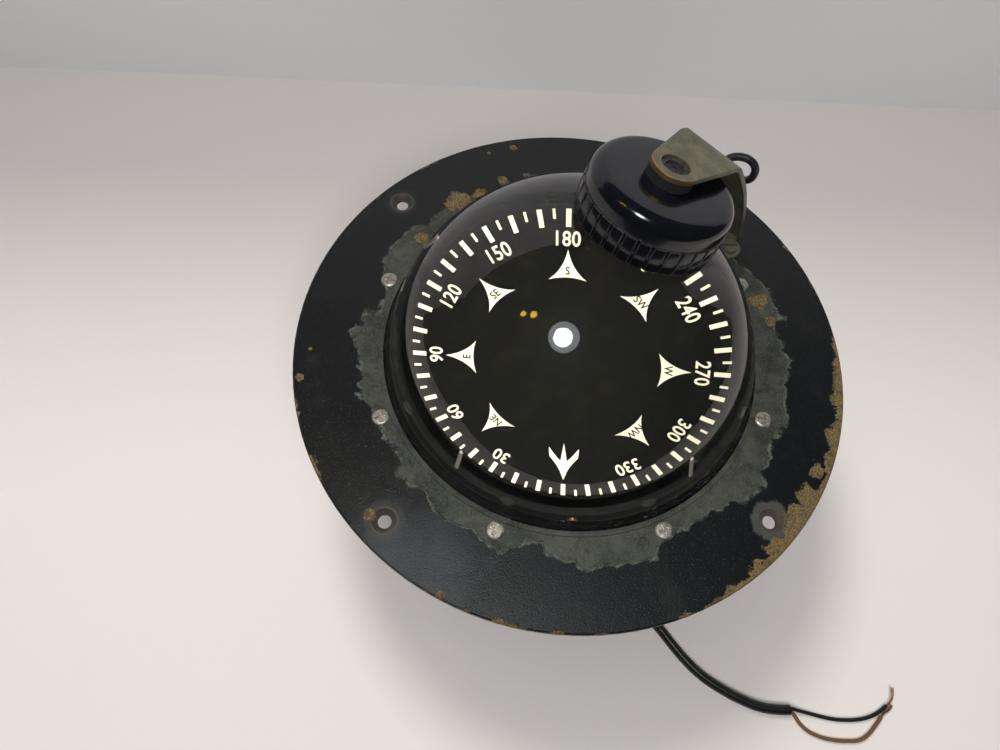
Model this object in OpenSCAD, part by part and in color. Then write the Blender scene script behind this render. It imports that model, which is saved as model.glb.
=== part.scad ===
// Flush-mount magnetic compass: domed liquid bowl, internal gimbals, lamp hood on a strap.
// Origin: bowl axis at the underside of the compensator housing. +Z up, -Y towards the reader.

/* [Flange] */
// Height of the flange's top face above the base
flange_z = 84; // [82:0.5:90]
// Outer radius of the mounting flange
flange_r = 115; // [110:1:125]
// Thickness of the mounting flange
flange_t = 3.2; // [3:0.1:4]
// Radius of the circle of mounting holes
mount_circle_r = 104.25; // [102:0.25:108]
// Radius of a mounting hole
mount_hole_r = 2.6; // [2:0.1:3]
// Radius of the circle of flange screws
screw_circle_r = 83.75; // [83.5:0.25:85]

/* [Dome] */
// Outer radius of the dome
dome_r = 76.5; // [76:0.1:76.8]
// Wall of the dome
dome_wall = 3.5; // [3:0.1:4]
// How far the dome's centre lies below the flange top
dome_drop = 8; // [7:0.5:9]

/* [Bowl] */
// Outer radius of the bowl's side
bowl_r = 80; // [79:0.5:81]
// Wall of the bowl
bowl_wall = 4.5; // [4:0.1:4.6]

/* [Card and gimbals] */
// Radius of the compass card
card_r = 47.3; // [45:0.1:48]
// Height of the card's top face
card_z = 71; // [70.5:0.1:71.5]
// Height of both gimbal axes
gimbal_z = 66.5; // [66:0.1:67]
// Radius of the circle of lubber pins
pin_circle_r = 52; // [51.5:0.1:52.5]

/* [Lamp hood] */
// Direction of the hood round the dome, in degrees
hood_az = 43; // [41:0.5:45]
// Tilt of the hood's axis from upright, in degrees
hood_tilt = 19.5; // [19:0.5:20]
// Distance of the hood's mouth from the bowl axis
hood_x = 26.7; // [26.5:0.1:27]
// Height of the hood's mouth above the flange top
hood_rise = 63; // [62.8:0.1:64]
// Outer radius of the ribbed ring
ring_r = 26.9; // [26.6:0.1:27.2]
// Number of ribs on the ring
rib_count = 32; // [24:1:36]

/* [Hidden] */
$fn = 96;
seat_z = flange_z - flange_t;
dome_z = flange_z - dome_drop;
bore_r = 78;
rim_r = 90;
ledge_z = seat_z - 5.5;
ledge_r = 81;
gasket_t = 1.5;
dome_rim_r = 80.3;
floor_z = 23;
arc_r = 26;
arc_x = bowl_r - arc_r;
arc_z = floor_z + arc_r;
inner_r = bowl_r - bowl_wall;
opening_r = 28;
boss_face = bowl_r + 2;
fit = 0.05;
eps = 0.5;
screw_angles = [for (i = [0:7]) 22.5 + 45 * i];
mount_angles = [for (i = [0:3]) 45 + 90 * i];
cover_angles = [for (i = [0:5]) 30 + 60 * i];
cover_circle_r = 38;
cover_r = 44;
cover_z = 19;
cover_t = 2.5;
housing_r = 32;
lug_t = 2.5;
rod_r = 2.5;
ns_rod_z = 8;
ew_rod_z = 13.6;
filler_az = 200;
filler_z = 58;
gland_az = -68;
gland_x = 87;
gland_z = 58;
gland_h = 8;
clip_y = 9;
boot_h = 12;
lead_az = 52;
lead_x = 103;
strap_t = 2;
strap_screw_x = 88.6;
strap_screw_y = 13.6;
plate_w = 24.4;
tongue_r = 8.8;
leg_lean = 36;
leg_arc_r = 243;
bend_r = 16;
plate_len = 20;
plate_top = 25;
body_top = 19.4;
hub_r = 5;
hood_z = flange_z + hood_rise;
outer_ring_in = 57;
outer_ring_out = 61;
inner_ring_in = 50;
inner_ring_out = 54;
gimbal_h = 5;
float_top = card_z - 0.8;
float_z = 62;
pivot_tip_z = 68.5;
arm_z = 54;
arm_t = 3;

cord_d = 4.5;
lead_d = 3;
core_d = 1.7;

// Free cord, from the boot's mouth down to the surface and out past the flange
cord_route = [
    [32.6, -80.7, 46], [32.8, -81, 40], [33.2, -82, 32], [34, -84, 24], [35.6, -87.5, 16],
    [38, -92, 9], [41, -96.5, 4.2], [44.2, -100.5, 2.4], [47.5, -104.5, 2.3], [51.5, -110, 2.3],
    [57, -117, 2.3], [64, -124, 2.3], [72, -129.5, 2.3], [80.5, -134, 2.3], [89, -137.2, 2.3],
    [96, -138.3, 2.3], [102, -138.5, 2.3]
];
black_route = [
    [102.1, -138, 3.1], [103.2, -138.1, 2.9], [105.4, -138.7, 2.3], [109, -139.5, 1.5], [115, -141, 1], [121, -142.3, 1],
    [127, -142.8, 1], [133, -142.6, 1], [138.5, -141.5, 1], [143, -139.6, 1], [147, -137, 1.2]
];
brown_route = [
    [102.1, -139.1, 1.45], [102.9, -139.3, 1.4], [104.2, -140.8, 1.15], [105.8, -143.6, 1], [108.6, -146.6, 1], [113, -149, 1],
    [119, -150.6, 1], [126, -151.2, 1], [132, -150.8, 1], [136.5, -148.4, 1], [140.3, -145, 1],
    [143.5, -141.8, 1]
];
black_ends = [[147.13, -136.9, 1.21], [149, -135.2, 1.5], [150.4, -132.6, 1.8], [151, -129.6, 2]];
brown_ends = [[143.58, -141.72, 1], [145.6, -139.9, 1.1], [147.8, -138.6, 1], [149.6, -136.8, 1]];

// Lamp lead on the hood's side of the flange, in the strap's own directions
lead_upper = [
    [42.2, 0, 164], [46, 0, 162.6], [50.8, 0, 161], [54.8, 0, 159.3], [57, -0.1, 157.9],
    [59, -0.3, 155.4], [60.2, -0.6, 152.6], [61.4, -1, 149.8], [63.6, -1.5, 147.4],
    [66.2, -1.9, 146.6], [68.84, -2, 147.5], [71.2, -3, 149], [73.6, -5.6, 149.8],
    [75.6, -8.8, 149], [76.6, -11.2, 146.6], [76.8, -12, 143.2], [77.2, -11.4, 140],
    [78.6, -9.4, 136.2], [81, -6.8, 131], [83.9, -4.2, 125.2], [87.2, -1.2, 118],
    [90.8, 2, 110.4], [94.2, 6, 101.8], [97.6, 10.4, 93.6], [100.4, 14, 88],
    [101.5, 15.8, 85.6], [101.72, 16.11, 84.4]
];
// Lamp lead below the flange, as angle, radius and height
lead_lower = [
    [52, 103, 80.7], [51.7, 102.4, 79.7], [50.6, 101, 79.2], [48, 97.8, 79.2],
    [43.5, 94.6, 79.2], [37, 92.4, 79.2], [28, 91.7, 79.2], [19, 91.7, 79.2], [10, 91.7, 79.2], [1, 91.7, 79.2], [-8, 91.7, 79.2],
    [-17, 91.7, 79.2], [-26, 91.7, 79.2], [-35, 91.7, 79.2], [-44, 91.7, 79.2],
    [-53, 91.7, 79.2], [-59, 91.7, 78.9], [-63.5, 91.8, 77.4], [-66.3, 91.8, 74.6],
    [-67.4, 91.2, 72], [-67.9, 89.6, 69.6], [-68, 87.9, 68.1], [-68, 87.1, 67], [-68, 87, 66]
];

// ---- helpers ----
function unit(v) = v / norm(v);
function tangent(p, i) = unit(p[min(i + 1, len(p) - 1)] - p[max(i - 1, 0)]);
function across(t, n) = unit(n - t * (t * n));
function normals(p, i, n) =
    i >= len(p) ? [] : let (m = across(tangent(p, i), n)) concat([m], normals(p, i + 1, m));
function polar(q) = [q[1] * cos(q[0]), q[1] * sin(q[0]), q[2]];
function turned(q, a) = [q[0] * cos(a) - q[1] * sin(a), q[0] * sin(a) + q[1] * cos(a), q[2]];

// Round tube along route p, one ring of n corners at each point
module tube(p, d, n = 8, first = [0, 0.3, 0.95]) {
    ns = normals(p, 0, first);
    pts = [for (i = [0:len(p) - 1]) let (t = tangent(p, i), b = cross(t, ns[i]))
        for (k = [0:n - 1]) p[i] + d / 2 * (ns[i] * cos(360 * k / n) + b * sin(360 * k / n))];
    last = (len(p) - 1) * n;
    sides = [for (i = [0:len(p) - 2]) for (k = [0:n - 1])
        [i * n + k, i * n + (k + 1) % n, (i + 1) * n + (k + 1) % n, (i + 1) * n + k]];
    caps = [[for (k = [n - 1:-1:0]) k], [for (k = [0:n - 1]) last + k]];
    polyhedron(pts, [for (f = concat(sides, caps)) [for (k = [len(f) - 1:-1:0]) f[k]]]);
}

module ring(ro, ri, z, h) {
    translate([0, 0, z]) difference() {
        cylinder(r = ro, h = h);
        translate([0, 0, -eps]) cylinder(r = ri, h = h + 2 * eps);
    }
}

// Drill of radius r from z0 to z1
module drill(r, z0, z1) translate([0, 0, z0]) cylinder(r = r, h = z1 - z0, $fn = 48);

module on_circle(angles, r) for (a = angles) rotate(a) translate([r, 0, 0]) children();

// Lays a child that stands along +Z out along the radius at angle a and height z
module radial(a, z) rotate(a) translate([0, 0, z]) rotate([0, 90, 0]) children();

module in_hood() rotate(hood_az) translate([hood_x, 0, hood_z]) rotate([0, hood_tilt, 0]) children();

// Countersunk cut for a head of radius hr over a hole of radius r, mouth at height z
module countersink(hr, r, z) {
    translate([0, 0, z - (hr - r)]) cylinder(r1 = r, r2 = hr, h = hr - r, $fn = 48);
    translate([0, 0, z]) cylinder(r = hr, h = 1, $fn = 48);
}

// Places of the clip's two screws on the bowl
module clip_places() for (s = [-1, 1]) rotate(gland_az)
    translate([0, s * clip_y, gland_z + gland_h / 2]) rotate([0, 90, 0]) children();

module cross_slot(w, l, h) for (a = [0, 90]) rotate(a) translate([-l / 2, -w / 2, 0]) cube([l, w, h]);

// ---- casing ----
module mounting_flange() color([0.06, 0.07, 0.08]) difference() {
    union() {
        translate([0, 0, seat_z]) cylinder(r = flange_r, h = flange_t - 0.6);
        translate([0, 0, flange_z - 0.6]) cylinder(r1 = flange_r, r2 = flange_r - 0.6, h = 0.6);
        translate([0, 0, seat_z]) cylinder(r = bore_r + 2, h = flange_t + 0.5);
    }
    drill(bore_r, seat_z - eps, flange_z + 2, $fn = 96);
    on_circle(mount_angles, mount_circle_r) {
        drill(mount_hole_r, seat_z - eps, flange_z);
        countersink(mount_hole_r + 2.1, mount_hole_r, flange_z);
    }
    on_circle(screw_angles, screw_circle_r) {
        drill(1.9, seat_z - eps, flange_z);
        countersink(3.6, 1.9, flange_z);
    }
    rotate(hood_az) for (s = [-1, 1]) translate([strap_screw_x, s * strap_screw_y, 0])
        drill(1.65, seat_z - eps, flange_z + eps);
    rotate(lead_az) translate([lead_x, 0, 0]) drill(2.7, seat_z - eps, flange_z + eps);
}

module dome() color([0.75, 0.85, 0.9, 0.3]) difference() {
    union() {
        intersection() {
            translate([0, 0, dome_z]) sphere(r = dome_r, $fn = 160);
            translate([0, 0, ledge_z + gasket_t]) cylinder(r = 90, h = 90);
        }
        translate([0, 0, ledge_z + gasket_t]) cylinder(r = dome_rim_r, h = 4);
    }
    translate([0, 0, dome_z]) sphere(r = dome_r - dome_wall, $fn = 160);
}

module sealant_bead() color([0.03, 0.03, 0.03]) difference() {
    union() {
        translate([0, 0, seat_z + 0.05]) cylinder(r = bore_r - fit, h = flange_t);
        translate([0, 0, flange_z]) cylinder(r1 = bore_r - fit, r2 = dome_r - 1.2, h = 2.6);
    }
    translate([0, 0, dome_z]) sphere(r = dome_r + 0.02, $fn = 160);
}

module dome_gasket() color([0.05, 0.05, 0.05]) ring(dome_rim_r, inner_r, ledge_z, gasket_t);

module flange_screws() color([0.72, 0.7, 0.64]) on_circle(screw_angles, screw_circle_r)
    difference() {
        union() {
            drill(1.8, ledge_z + 0.8, flange_z);
            translate([0, 0, flange_z - 1.7]) cylinder(r1 = 1.8, r2 = 3.5, h = 1.7, $fn = 48);
            translate([0, 0, flange_z]) cylinder(r1 = 3.5, r2 = 2.7, h = 0.5, $fn = 48);
        }
        translate([0, 0, flange_z - 0.9]) cross_slot(1.1, 4.6, 3);
    }

module bowl_profile(r, ax, ar, top) {
    translate([0, arc_z]) square([r, top - arc_z]);
    translate([0, arc_z - ar]) square([ax, ar]);
    intersection() {
        translate([ax, arc_z]) circle(r = ar);
        translate([ax, arc_z - ar]) square([ar, ar]);
    }
}

module bowl() color([0.1, 0.11, 0.1]) difference() {
    union() {
        rotate_extrude() bowl_profile(bowl_r, arc_x, arc_r, ledge_z);
        for (a = [0, 180]) radial(a, gimbal_z) drill(6.5, 60, boss_face);
        radial(filler_az, filler_z) drill(8, 60, boss_face);
        clip_places() drill(3.6, 60, boss_face);
    }
    rotate_extrude() bowl_profile(inner_r, arc_x, arc_r - bowl_wall, seat_z + eps);
    drill(opening_r, floor_z - eps, floor_z + 12, $fn = 96);
    on_circle(cover_angles, cover_circle_r) drill(2, floor_z - eps, floor_z + 3.6);
    for (a = [0, 180]) radial(a, gimbal_z) drill(3 + fit, 60, boss_face + eps);
    radial(filler_az, filler_z) drill(4 + fit, 60, boss_face + eps);
    clip_places() drill(1.55, boss_face - 4.5, boss_face + eps);
}

module bowl_rim() color([0.1, 0.11, 0.1]) difference() {
    union() {
        drill(rim_r, seat_z - 6, seat_z, $fn = 96);
        drill(84, seat_z - 7.5, seat_z - 6, $fn = 96);
    }
    drill(bowl_r, seat_z - 8, ledge_z, $fn = 96);
    drill(ledge_r, ledge_z, seat_z + eps, $fn = 96);
    on_circle(screw_angles, screw_circle_r) drill(1.85, ledge_z + 0.4, seat_z + eps);
}

module filler_plug() color([0.62, 0.5, 0.3]) radial(filler_az, filler_z) difference() {
    union() {
        drill(4, inner_r, boss_face + 1.5);
        drill(6.5, boss_face + 1.5, boss_face + 4.5);
    }
    translate([-8, -0.7, boss_face + 3.3]) cube([16, 1.4, 2]);
}

module filler_washer() color([0.3, 0.12, 0.08])
    radial(filler_az, filler_z) ring(7.2, 4.1, boss_face, 1.5);

module diaphragm() color([0.08, 0.08, 0.08]) difference() {
    union() {
        drill(cover_r, floor_z - 1.5, floor_z, $fn = 96);
        ring(20, 15, floor_z - eps, 2.5);
    }
    ring(18.8, 16.2, floor_z - 2, 3);
    on_circle(cover_angles, cover_circle_r) drill(2.05, floor_z - 2, floor_z + eps);
}

module diaphragm_cover() color([0.5, 0.42, 0.28]) difference() {
    drill(cover_r, cover_z, cover_z + cover_t, $fn = 96);
    drill(26, cover_z + 1.5, cover_z + cover_t + eps, $fn = 96);
    on_circle(cover_angles, cover_circle_r) drill(2.05, cover_z - eps, cover_z + 4);
    on_circle([0:60:300], 10) drill(1.5, cover_z - eps, cover_z + 4);
}

module cover_screws() color([0.7, 0.66, 0.55]) on_circle(cover_angles, cover_circle_r)
    difference() {
        union() {
            drill(1.95, cover_z - lug_t - eps, floor_z + 3.3);
            drill(3.4, cover_z - lug_t - 2.2, cover_z - lug_t);
        }
        translate([-4, -0.5, cover_z - lug_t - 3]) cube([8, 1, 1.8]);
    }

// ---- compensator ----
module compensator_housing() color([0.5, 0.42, 0.28]) difference() {
    union() {
        drill(housing_r, 0, cover_z, $fn = 96);
        drill(cover_r, cover_z - lug_t, cover_z, $fn = 96);
    }
    drill(housing_r - 4, 2.5, cover_z + eps, $fn = 96);
    on_circle(cover_angles, cover_circle_r) drill(2.05, cover_z - 4, cover_z + eps);
    translate([0, 0, ns_rod_z]) rotate([90, 0, 0]) drill(rod_r + fit, -40, 40);
    translate([0, 0, ew_rod_z]) rotate([0, 90, 0]) drill(rod_r + fit, -40, 40);
}

// Adjuster rod along +Z with slotted ends, collars and cross holes for two magnets
module adjuster_rod() difference() {
    union() {
        drill(rod_r, -31.5, 31.5);
        for (s = [-1, 1]) translate([0, 0, s * 26.9]) drill(3.6, -0.8, 0.8);
    }
    for (s = [-1, 1]) translate([0, 0, s * 31.5]) cube([8, 0.9, 2.4], center = true);
    for (s = [-1, 1]) translate([0, 0, s * 12]) rotate([0, 90, 0]) drill(1.52, -4, 4);
}

module rod_magnets() for (s = [-1, 1]) translate([0, 0, s * 12]) rotate([0, 90, 0]) drill(1.5, -5, 5);

module ns_place() translate([0, 0, ns_rod_z]) rotate([90, 0, 0]) children();
module ew_place() translate([0, 0, ew_rod_z]) rotate([90, 0, 90]) children();

module ns_adjuster_rod() color([0.72, 0.58, 0.32]) ns_place() adjuster_rod();
module ns_magnets() color([0.35, 0.35, 0.37]) ns_place() rod_magnets();
module ew_adjuster_rod() color([0.72, 0.58, 0.32]) ew_place() adjuster_rod();
module ew_magnets() color([0.35, 0.35, 0.37]) ew_place() rod_magnets();

// ---- gimbals ----
module gimbal_pivot_screws() color([0.72, 0.58, 0.32]) for (a = [0, 180]) radial(a, gimbal_z)
    difference() {
        union() {
            drill(1.5, outer_ring_in + 0.4, 74);
            drill(3, 73, boss_face + 0.5);
            drill(5.2, boss_face, boss_face + 2);
        }
        translate([-6, -0.6, boss_face + 1]) cube([12, 1.2, 2]);
    }

module outer_gimbal_ring() color([0.08, 0.08, 0.08]) difference() {
    ring(outer_ring_out, outer_ring_in, gimbal_z - gimbal_h / 2, gimbal_h);
    translate([0, 0, gimbal_z]) rotate([0, 90, 0]) drill(1.56, -70, 70);
    translate([0, 0, gimbal_z]) rotate([90, 0, 0]) drill(1.52, -70, 70);
}

module inner_pivot_pins() color([0.72, 0.58, 0.32])
    for (a = [90, -90]) radial(a, gimbal_z) drill(1.5, inner_ring_in + 0.4, outer_ring_out - 0.3);

module inner_gimbal_ring() color([0.08, 0.08, 0.08]) difference() {
    ring(inner_ring_out, inner_ring_in, gimbal_z - gimbal_h / 2, gimbal_h);
    translate([0, 0, gimbal_z]) rotate([90, 0, 0]) drill(1.56, -70, 70);
}

module cradle_arms() color([0.1, 0.1, 0.1]) {
    ring_foot = gimbal_z - gimbal_h / 2;
    for (a = mount_angles) rotate(a) translate([inner_ring_in, -2, arm_z])
        cube([4, 4, ring_foot - arm_z]);
    for (a = [45, 135]) rotate(a) translate([-inner_ring_in - 1, -2, arm_z])
        cube([2 * inner_ring_in + 2, 4, arm_t]);
    drill(8, arm_z, arm_z + arm_t);
}

module counterweight() color([0.45, 0.42, 0.36]) difference() {
    drill(18, arm_z - 8, arm_z, $fn = 96);
    on_circle([0, 90, 180, 270], 13) drill(1.5, arm_z - 8.5, arm_z - 5);
}

module pivot_post() color([0.72, 0.58, 0.32]) drill(3, arm_z + arm_t, 60);

module pivot_point() color([0.7, 0.7, 0.72]) {
    drill(1.1, 60, 65);
    translate([0, 0, 65]) cylinder(r1 = 1.1, r2 = 0.15, h = pivot_tip_z - 65, $fn = 48);
}

module lubber_pins() color([0.75, 0.72, 0.62]) on_circle(mount_angles, pin_circle_r) {
    drill(0.75, gimbal_z + gimbal_h / 2, 78.6);
    translate([0, 0, 78.6]) sphere(r = 0.75, $fn = 32);
}

// ---- card ----
module card_disc() color([0.05, 0.05, 0.05]) drill(card_r, card_z - 0.8, card_z, $fn = 96);

module card_float() color([0.6, 0.58, 0.5]) difference() {
    drill(22, float_z, float_top, $fn = 96);
    drill(5 + fit, float_z - eps, float_top + eps);
}

module jewel_cup() color([0.72, 0.58, 0.32]) difference() {
    drill(5, float_z + 0.5, float_top);
    drill(3, float_z, 68);
    drill(1.6, 67, 69.5);
}

module pivot_jewel() color([0.75, 0.2, 0.3]) difference() {
    drill(1.55, 68.2, 69.4);
    translate([0, 0, 68.1]) cylinder(r1 = 0.6, r2 = 0.2, h = 0.5, $fn = 48);
}

module card_magnets() color([0.35, 0.35, 0.37])
    for (s = [-1, 1]) translate([s * 9 - 1.5, -19, float_z - 3]) cube([3, 38, 3]);

// ---- lamp hood ----
plate_end = [hood_x + plate_len * cos(hood_tilt) + plate_top * sin(hood_tilt),
    hood_z - plate_len * sin(hood_tilt) + plate_top * cos(hood_tilt)];
bend_c = plate_end - bend_r * [sin(hood_tilt), cos(hood_tilt)];
leg_top = bend_c + bend_r * [cos(leg_lean), sin(leg_lean)];
arc_c = leg_top - leg_arc_r * [cos(leg_lean), sin(leg_lean)];
foot_lean = asin((flange_z - arc_c[1]) / leg_arc_r);
leg_foot_x = arc_c[0] + leg_arc_r * cos(foot_lean);
hole_lean = asin((flange_z + 63.5 - arc_c[1]) / leg_arc_r);
foot_w = 27;

// Strap seen from its side: outer line down, inner line back up, as radius and height
function plate_point(x, z) = [hood_x + x * cos(hood_tilt) + z * sin(hood_tilt),
    hood_z - x * sin(hood_tilt) + z * cos(hood_tilt)];
function bend_line(r) = [for (i = [0:9])
    let (a = 90 - hood_tilt - i * (90 - hood_tilt - leg_lean) / 10) bend_c + r * [cos(a), sin(a)]];
function leg_line(r) = [for (i = [0:7])
    let (a = leg_lean - i * (leg_lean - foot_lean) / 8) arc_c + r * [cos(a), sin(a)]];
function reversed(p) = [for (i = [len(p) - 1:-1:0]) p[i]];
strap_side = concat(
    [plate_point(-14, plate_top)], bend_line(bend_r), leg_line(leg_arc_r), [[leg_foot_x, flange_z]],
    [[leg_foot_x - strap_t / cos(foot_lean), flange_z]], reversed(leg_line(leg_arc_r - strap_t)),
    reversed(bend_line(bend_r - strap_t)), [plate_point(-14, plate_top - strap_t)]);

module hood_strap() color([0.36, 0.35, 0.26]) difference() {
    union() {
        intersection() {
            rotate(hood_az) translate([0, foot_w, 0]) rotate([90, 0, 0])
                linear_extrude(2 * foot_w) polygon(strap_side);
            union() {
                in_hood() translate([0, 0, -20]) {
                    cylinder(r = tongue_r, h = 50);
                    linear_extrude(50) polygon([[-1.6, tongue_r - 0.15],
                        [plate_len, plate_w / 2], [60, plate_w / 2], [60, -plate_w / 2],
                        [plate_len, -plate_w / 2], [-1.6, -tongue_r + 0.15]]);
                }
                rotate(hood_az) translate([40, 0, 0]) rotate([90, 0, 90]) linear_extrude(90)
                    polygon([[-foot_w / 2, flange_z - 1], [foot_w / 2, flange_z - 1],
                        [plate_w / 2 - 0.3, leg_top[1] + 4], [-plate_w / 2 + 0.3, leg_top[1] + 4]]);
            }
        }
        rotate(hood_az) translate([0, 0, flange_z]) {
            translate([strap_screw_x - 4, -foot_w / 2 + 0.6, 0])
                cube([leg_foot_x - strap_screw_x + 2.6, foot_w - 1.2, strap_t]);
            for (s = [-1, 1]) translate([strap_screw_x, s * strap_screw_y, 0])
                cylinder(r = 5.2, h = strap_t);
        }
    }
    in_hood() drill(hub_r + 0.3, plate_top - 4, plate_top + 1);
    rotate(hood_az) for (s = [-1, 1]) translate([strap_screw_x, s * strap_screw_y, 0])
        drill(1.75, flange_z - 1, flange_z + 4);
    rotate(hood_az) translate([arc_c[0], -2, arc_c[1]]) rotate([0, 90 - hole_lean, 0])
        drill(2.5, leg_arc_r - 6, leg_arc_r + 6);
}

module strap_screws() color([0.42, 0.4, 0.3]) rotate(hood_az)
    for (s = [-1, 1]) translate([strap_screw_x, s * strap_screw_y, 0]) difference() {
        union() {
            drill(1.6, seat_z, flange_z + strap_t + 1);
            drill(3.6, flange_z + strap_t, flange_z + strap_t + 2);
        }
        translate([0, 0, flange_z + strap_t + 1.6]) rotate(-hood_az) cube([9, 0.9, 1.4], center = true);
    }

module hood_spacer() color([0.1, 0.1, 0.1])
    in_hood() ring(8.5, hub_r + fit, body_top, plate_top - strap_t - body_top);

module hood_body() color([0.03, 0.035, 0.05]) in_hood() difference() {
    union() {
        rotate_extrude() union() {
            translate([0, 10.1]) square([26, body_top - 10.1 - 4.5]);
            translate([0, 10.1]) square([21.5, body_top - 10.1]);
            translate([21.5, body_top - 4.5]) circle(r = 4.5);
        }
        drill(24.15, 5.5, 11, $fn = 96);
    }
    drill(22, 5, 17, $fn = 96);
    drill(hub_r + fit, 10, 20);
}

module hood_ring() color([0.03, 0.035, 0.05]) in_hood() difference() {
    drill(ring_r, 0, 10, $fn = 96);
    drill(22.6, -eps, 11, $fn = 96);
    drill(24.22, 2.4, 11, $fn = 96);
    for (i = [0:rib_count - 1]) rotate(i * 360 / rib_count)
        translate([ring_r + 1.3, 0, -eps]) cylinder(r = 2, h = 8.5, $fn = 24);
}

module hood_filter() color([0.6, 0.03, 0.02, 0.6]) in_hood() drill(23.9, 2.45, 4.2, $fn = 96);

module filter_gasket() color([0.08, 0.08, 0.08]) in_hood() ring(23.9, 22.2, 4.25, 1.25);

module lamp_socket() color([0.66, 0.54, 0.3]) in_hood() difference() {
    union() {
        drill(hub_r, 9, plate_top - 1);
        drill(7.2, 15.6, 17);
    }
    drill(3.5, 8, plate_top);
}

module lamp_insulator() color([0.12, 0.1, 0.09]) in_hood() difference() {
    drill(3.45, 20.2, plate_top - 1.8);
    drill(1.25, 19, plate_top);
}

module lamp_contact() color([0.72, 0.58, 0.32]) in_hood() drill(1.2, 19.45, plate_top - 2.2);

module bulb_base() color([0.72, 0.58, 0.32]) in_hood() {
    drill(3.4, 12.6, 18.6);
    drill(1.3, 18.6, 19.4);
}

module bulb_glass() color([0.9, 0.9, 0.85, 0.5]) in_hood() {
    drill(3.2, 8.6, 12.6);
    translate([0, 0, 8.6]) sphere(r = 3.2, $fn = 48);
}

module lead_grommet() color([0.5, 0.42, 0.25]) rotate(lead_az) translate([lead_x, 0, 0]) {
    ring(2.65, 1.6, seat_z, flange_t);
    ring(3.5, 1.6, flange_z, 0.9);
}

module lamp_lead() color([0.04, 0.04, 0.04]) tube(concat(
    [for (q = lead_upper) turned(q, hood_az)], [for (q = lead_lower) polar(q)]), lead_d);

// ---- supply cord ----
module cord_gland() color([0.05, 0.05, 0.05]) difference() {
    rotate(gland_az) {
        translate([gland_x, 0, gland_z]) cylinder(r = 5, h = gland_h);
        translate([gland_x, 0, gland_z - boot_h]) cylinder(r1 = 3, r2 = 4.2, h = boot_h);
        translate([boss_face, -clip_y - 3.6, gland_z]) cube([2, 2 * clip_y + 7.2, gland_h]);
    }
    clip_places() drill(1.6, boss_face - eps, boss_face + 3);
}

module gland_screws() color([0.7, 0.66, 0.55]) clip_places() difference() {
    union() {
        drill(1.5, boss_face - 4.3, boss_face + 2);
        drill(2.8, boss_face + 2, boss_face + 3.6);
    }
    translate([-4, -0.4, boss_face + 2.8]) cube([8, 0.8, 2]);
}

module cord_jacket() color([0.03, 0.03, 0.03]) tube(cord_route, cord_d, 12, [0.9, 0.3, 0]);
module core_black() color([0.05, 0.04, 0.04]) tube(black_route, core_d);
module core_brown() color([0.4, 0.2, 0.12]) tube(brown_route, core_d);
module core_strands() color([0.6, 0.4, 0.25]) {
    tube(black_ends, 1.1);
    tube(brown_ends, 1.1);
}

mounting_flange();
dome();
sealant_bead();
dome_gasket();
flange_screws();
bowl_rim();
bowl();
filler_plug();
filler_washer();
diaphragm();
diaphragm_cover();
cover_screws();
compensator_housing();
ns_adjuster_rod();
ns_magnets();
ew_adjuster_rod();
ew_magnets();
gimbal_pivot_screws();
outer_gimbal_ring();
inner_pivot_pins();
inner_gimbal_ring();
cradle_arms();
counterweight();
pivot_post();
pivot_point();
lubber_pins();
card_disc();
card_float();
jewel_cup();
pivot_jewel();
card_magnets();
hood_strap();
strap_screws();
hood_spacer();
hood_body();
hood_ring();
hood_filter();
filter_gasket();
lamp_socket();
lamp_insulator();
lamp_contact();
bulb_base();
bulb_glass();
lead_grommet();
lamp_lead();
cord_gland();
gland_screws();
cord_jacket();
core_black();
core_brown();
core_strands();
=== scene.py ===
"""Flush-mount, liquid-filled marine compass with a lamp hood: its looks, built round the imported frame."""

import logging
import math
import random
from dataclasses import dataclass
from enum import Enum
from typing import Any, Iterable, Optional, Sequence, Union

import bpy
from mathutils import Matrix, Vector


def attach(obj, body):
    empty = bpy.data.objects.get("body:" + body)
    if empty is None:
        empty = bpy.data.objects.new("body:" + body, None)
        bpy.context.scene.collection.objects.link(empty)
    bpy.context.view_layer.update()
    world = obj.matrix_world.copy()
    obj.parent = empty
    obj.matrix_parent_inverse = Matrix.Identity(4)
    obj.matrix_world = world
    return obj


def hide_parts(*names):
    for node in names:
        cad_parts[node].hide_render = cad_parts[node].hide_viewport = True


logging.basicConfig(level=logging.INFO, format="%(name)s: %(message)s")
log = logging.getLogger("compass")

MM = 0.001
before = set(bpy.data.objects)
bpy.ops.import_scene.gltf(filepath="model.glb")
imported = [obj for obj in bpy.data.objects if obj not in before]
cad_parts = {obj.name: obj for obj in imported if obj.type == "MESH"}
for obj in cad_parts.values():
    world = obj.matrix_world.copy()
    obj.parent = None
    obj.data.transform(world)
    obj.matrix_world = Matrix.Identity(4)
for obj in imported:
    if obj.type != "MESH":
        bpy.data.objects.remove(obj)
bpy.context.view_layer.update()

Colour = tuple[float, float, float]
HOOD_TURN = math.radians(43.0)
HOOD_TILT = math.radians(19.5)
HOOD_PLACE = (
    Matrix.Rotation(HOOD_TURN, 4, "Z")
    @ Matrix.Translation((26.7 * MM, 0.0, 147.0 * MM))
    @ Matrix.Rotation(HOOD_TILT, 4, "Y")
)


# ---------------------------------------------------------------- shader maths


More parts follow.
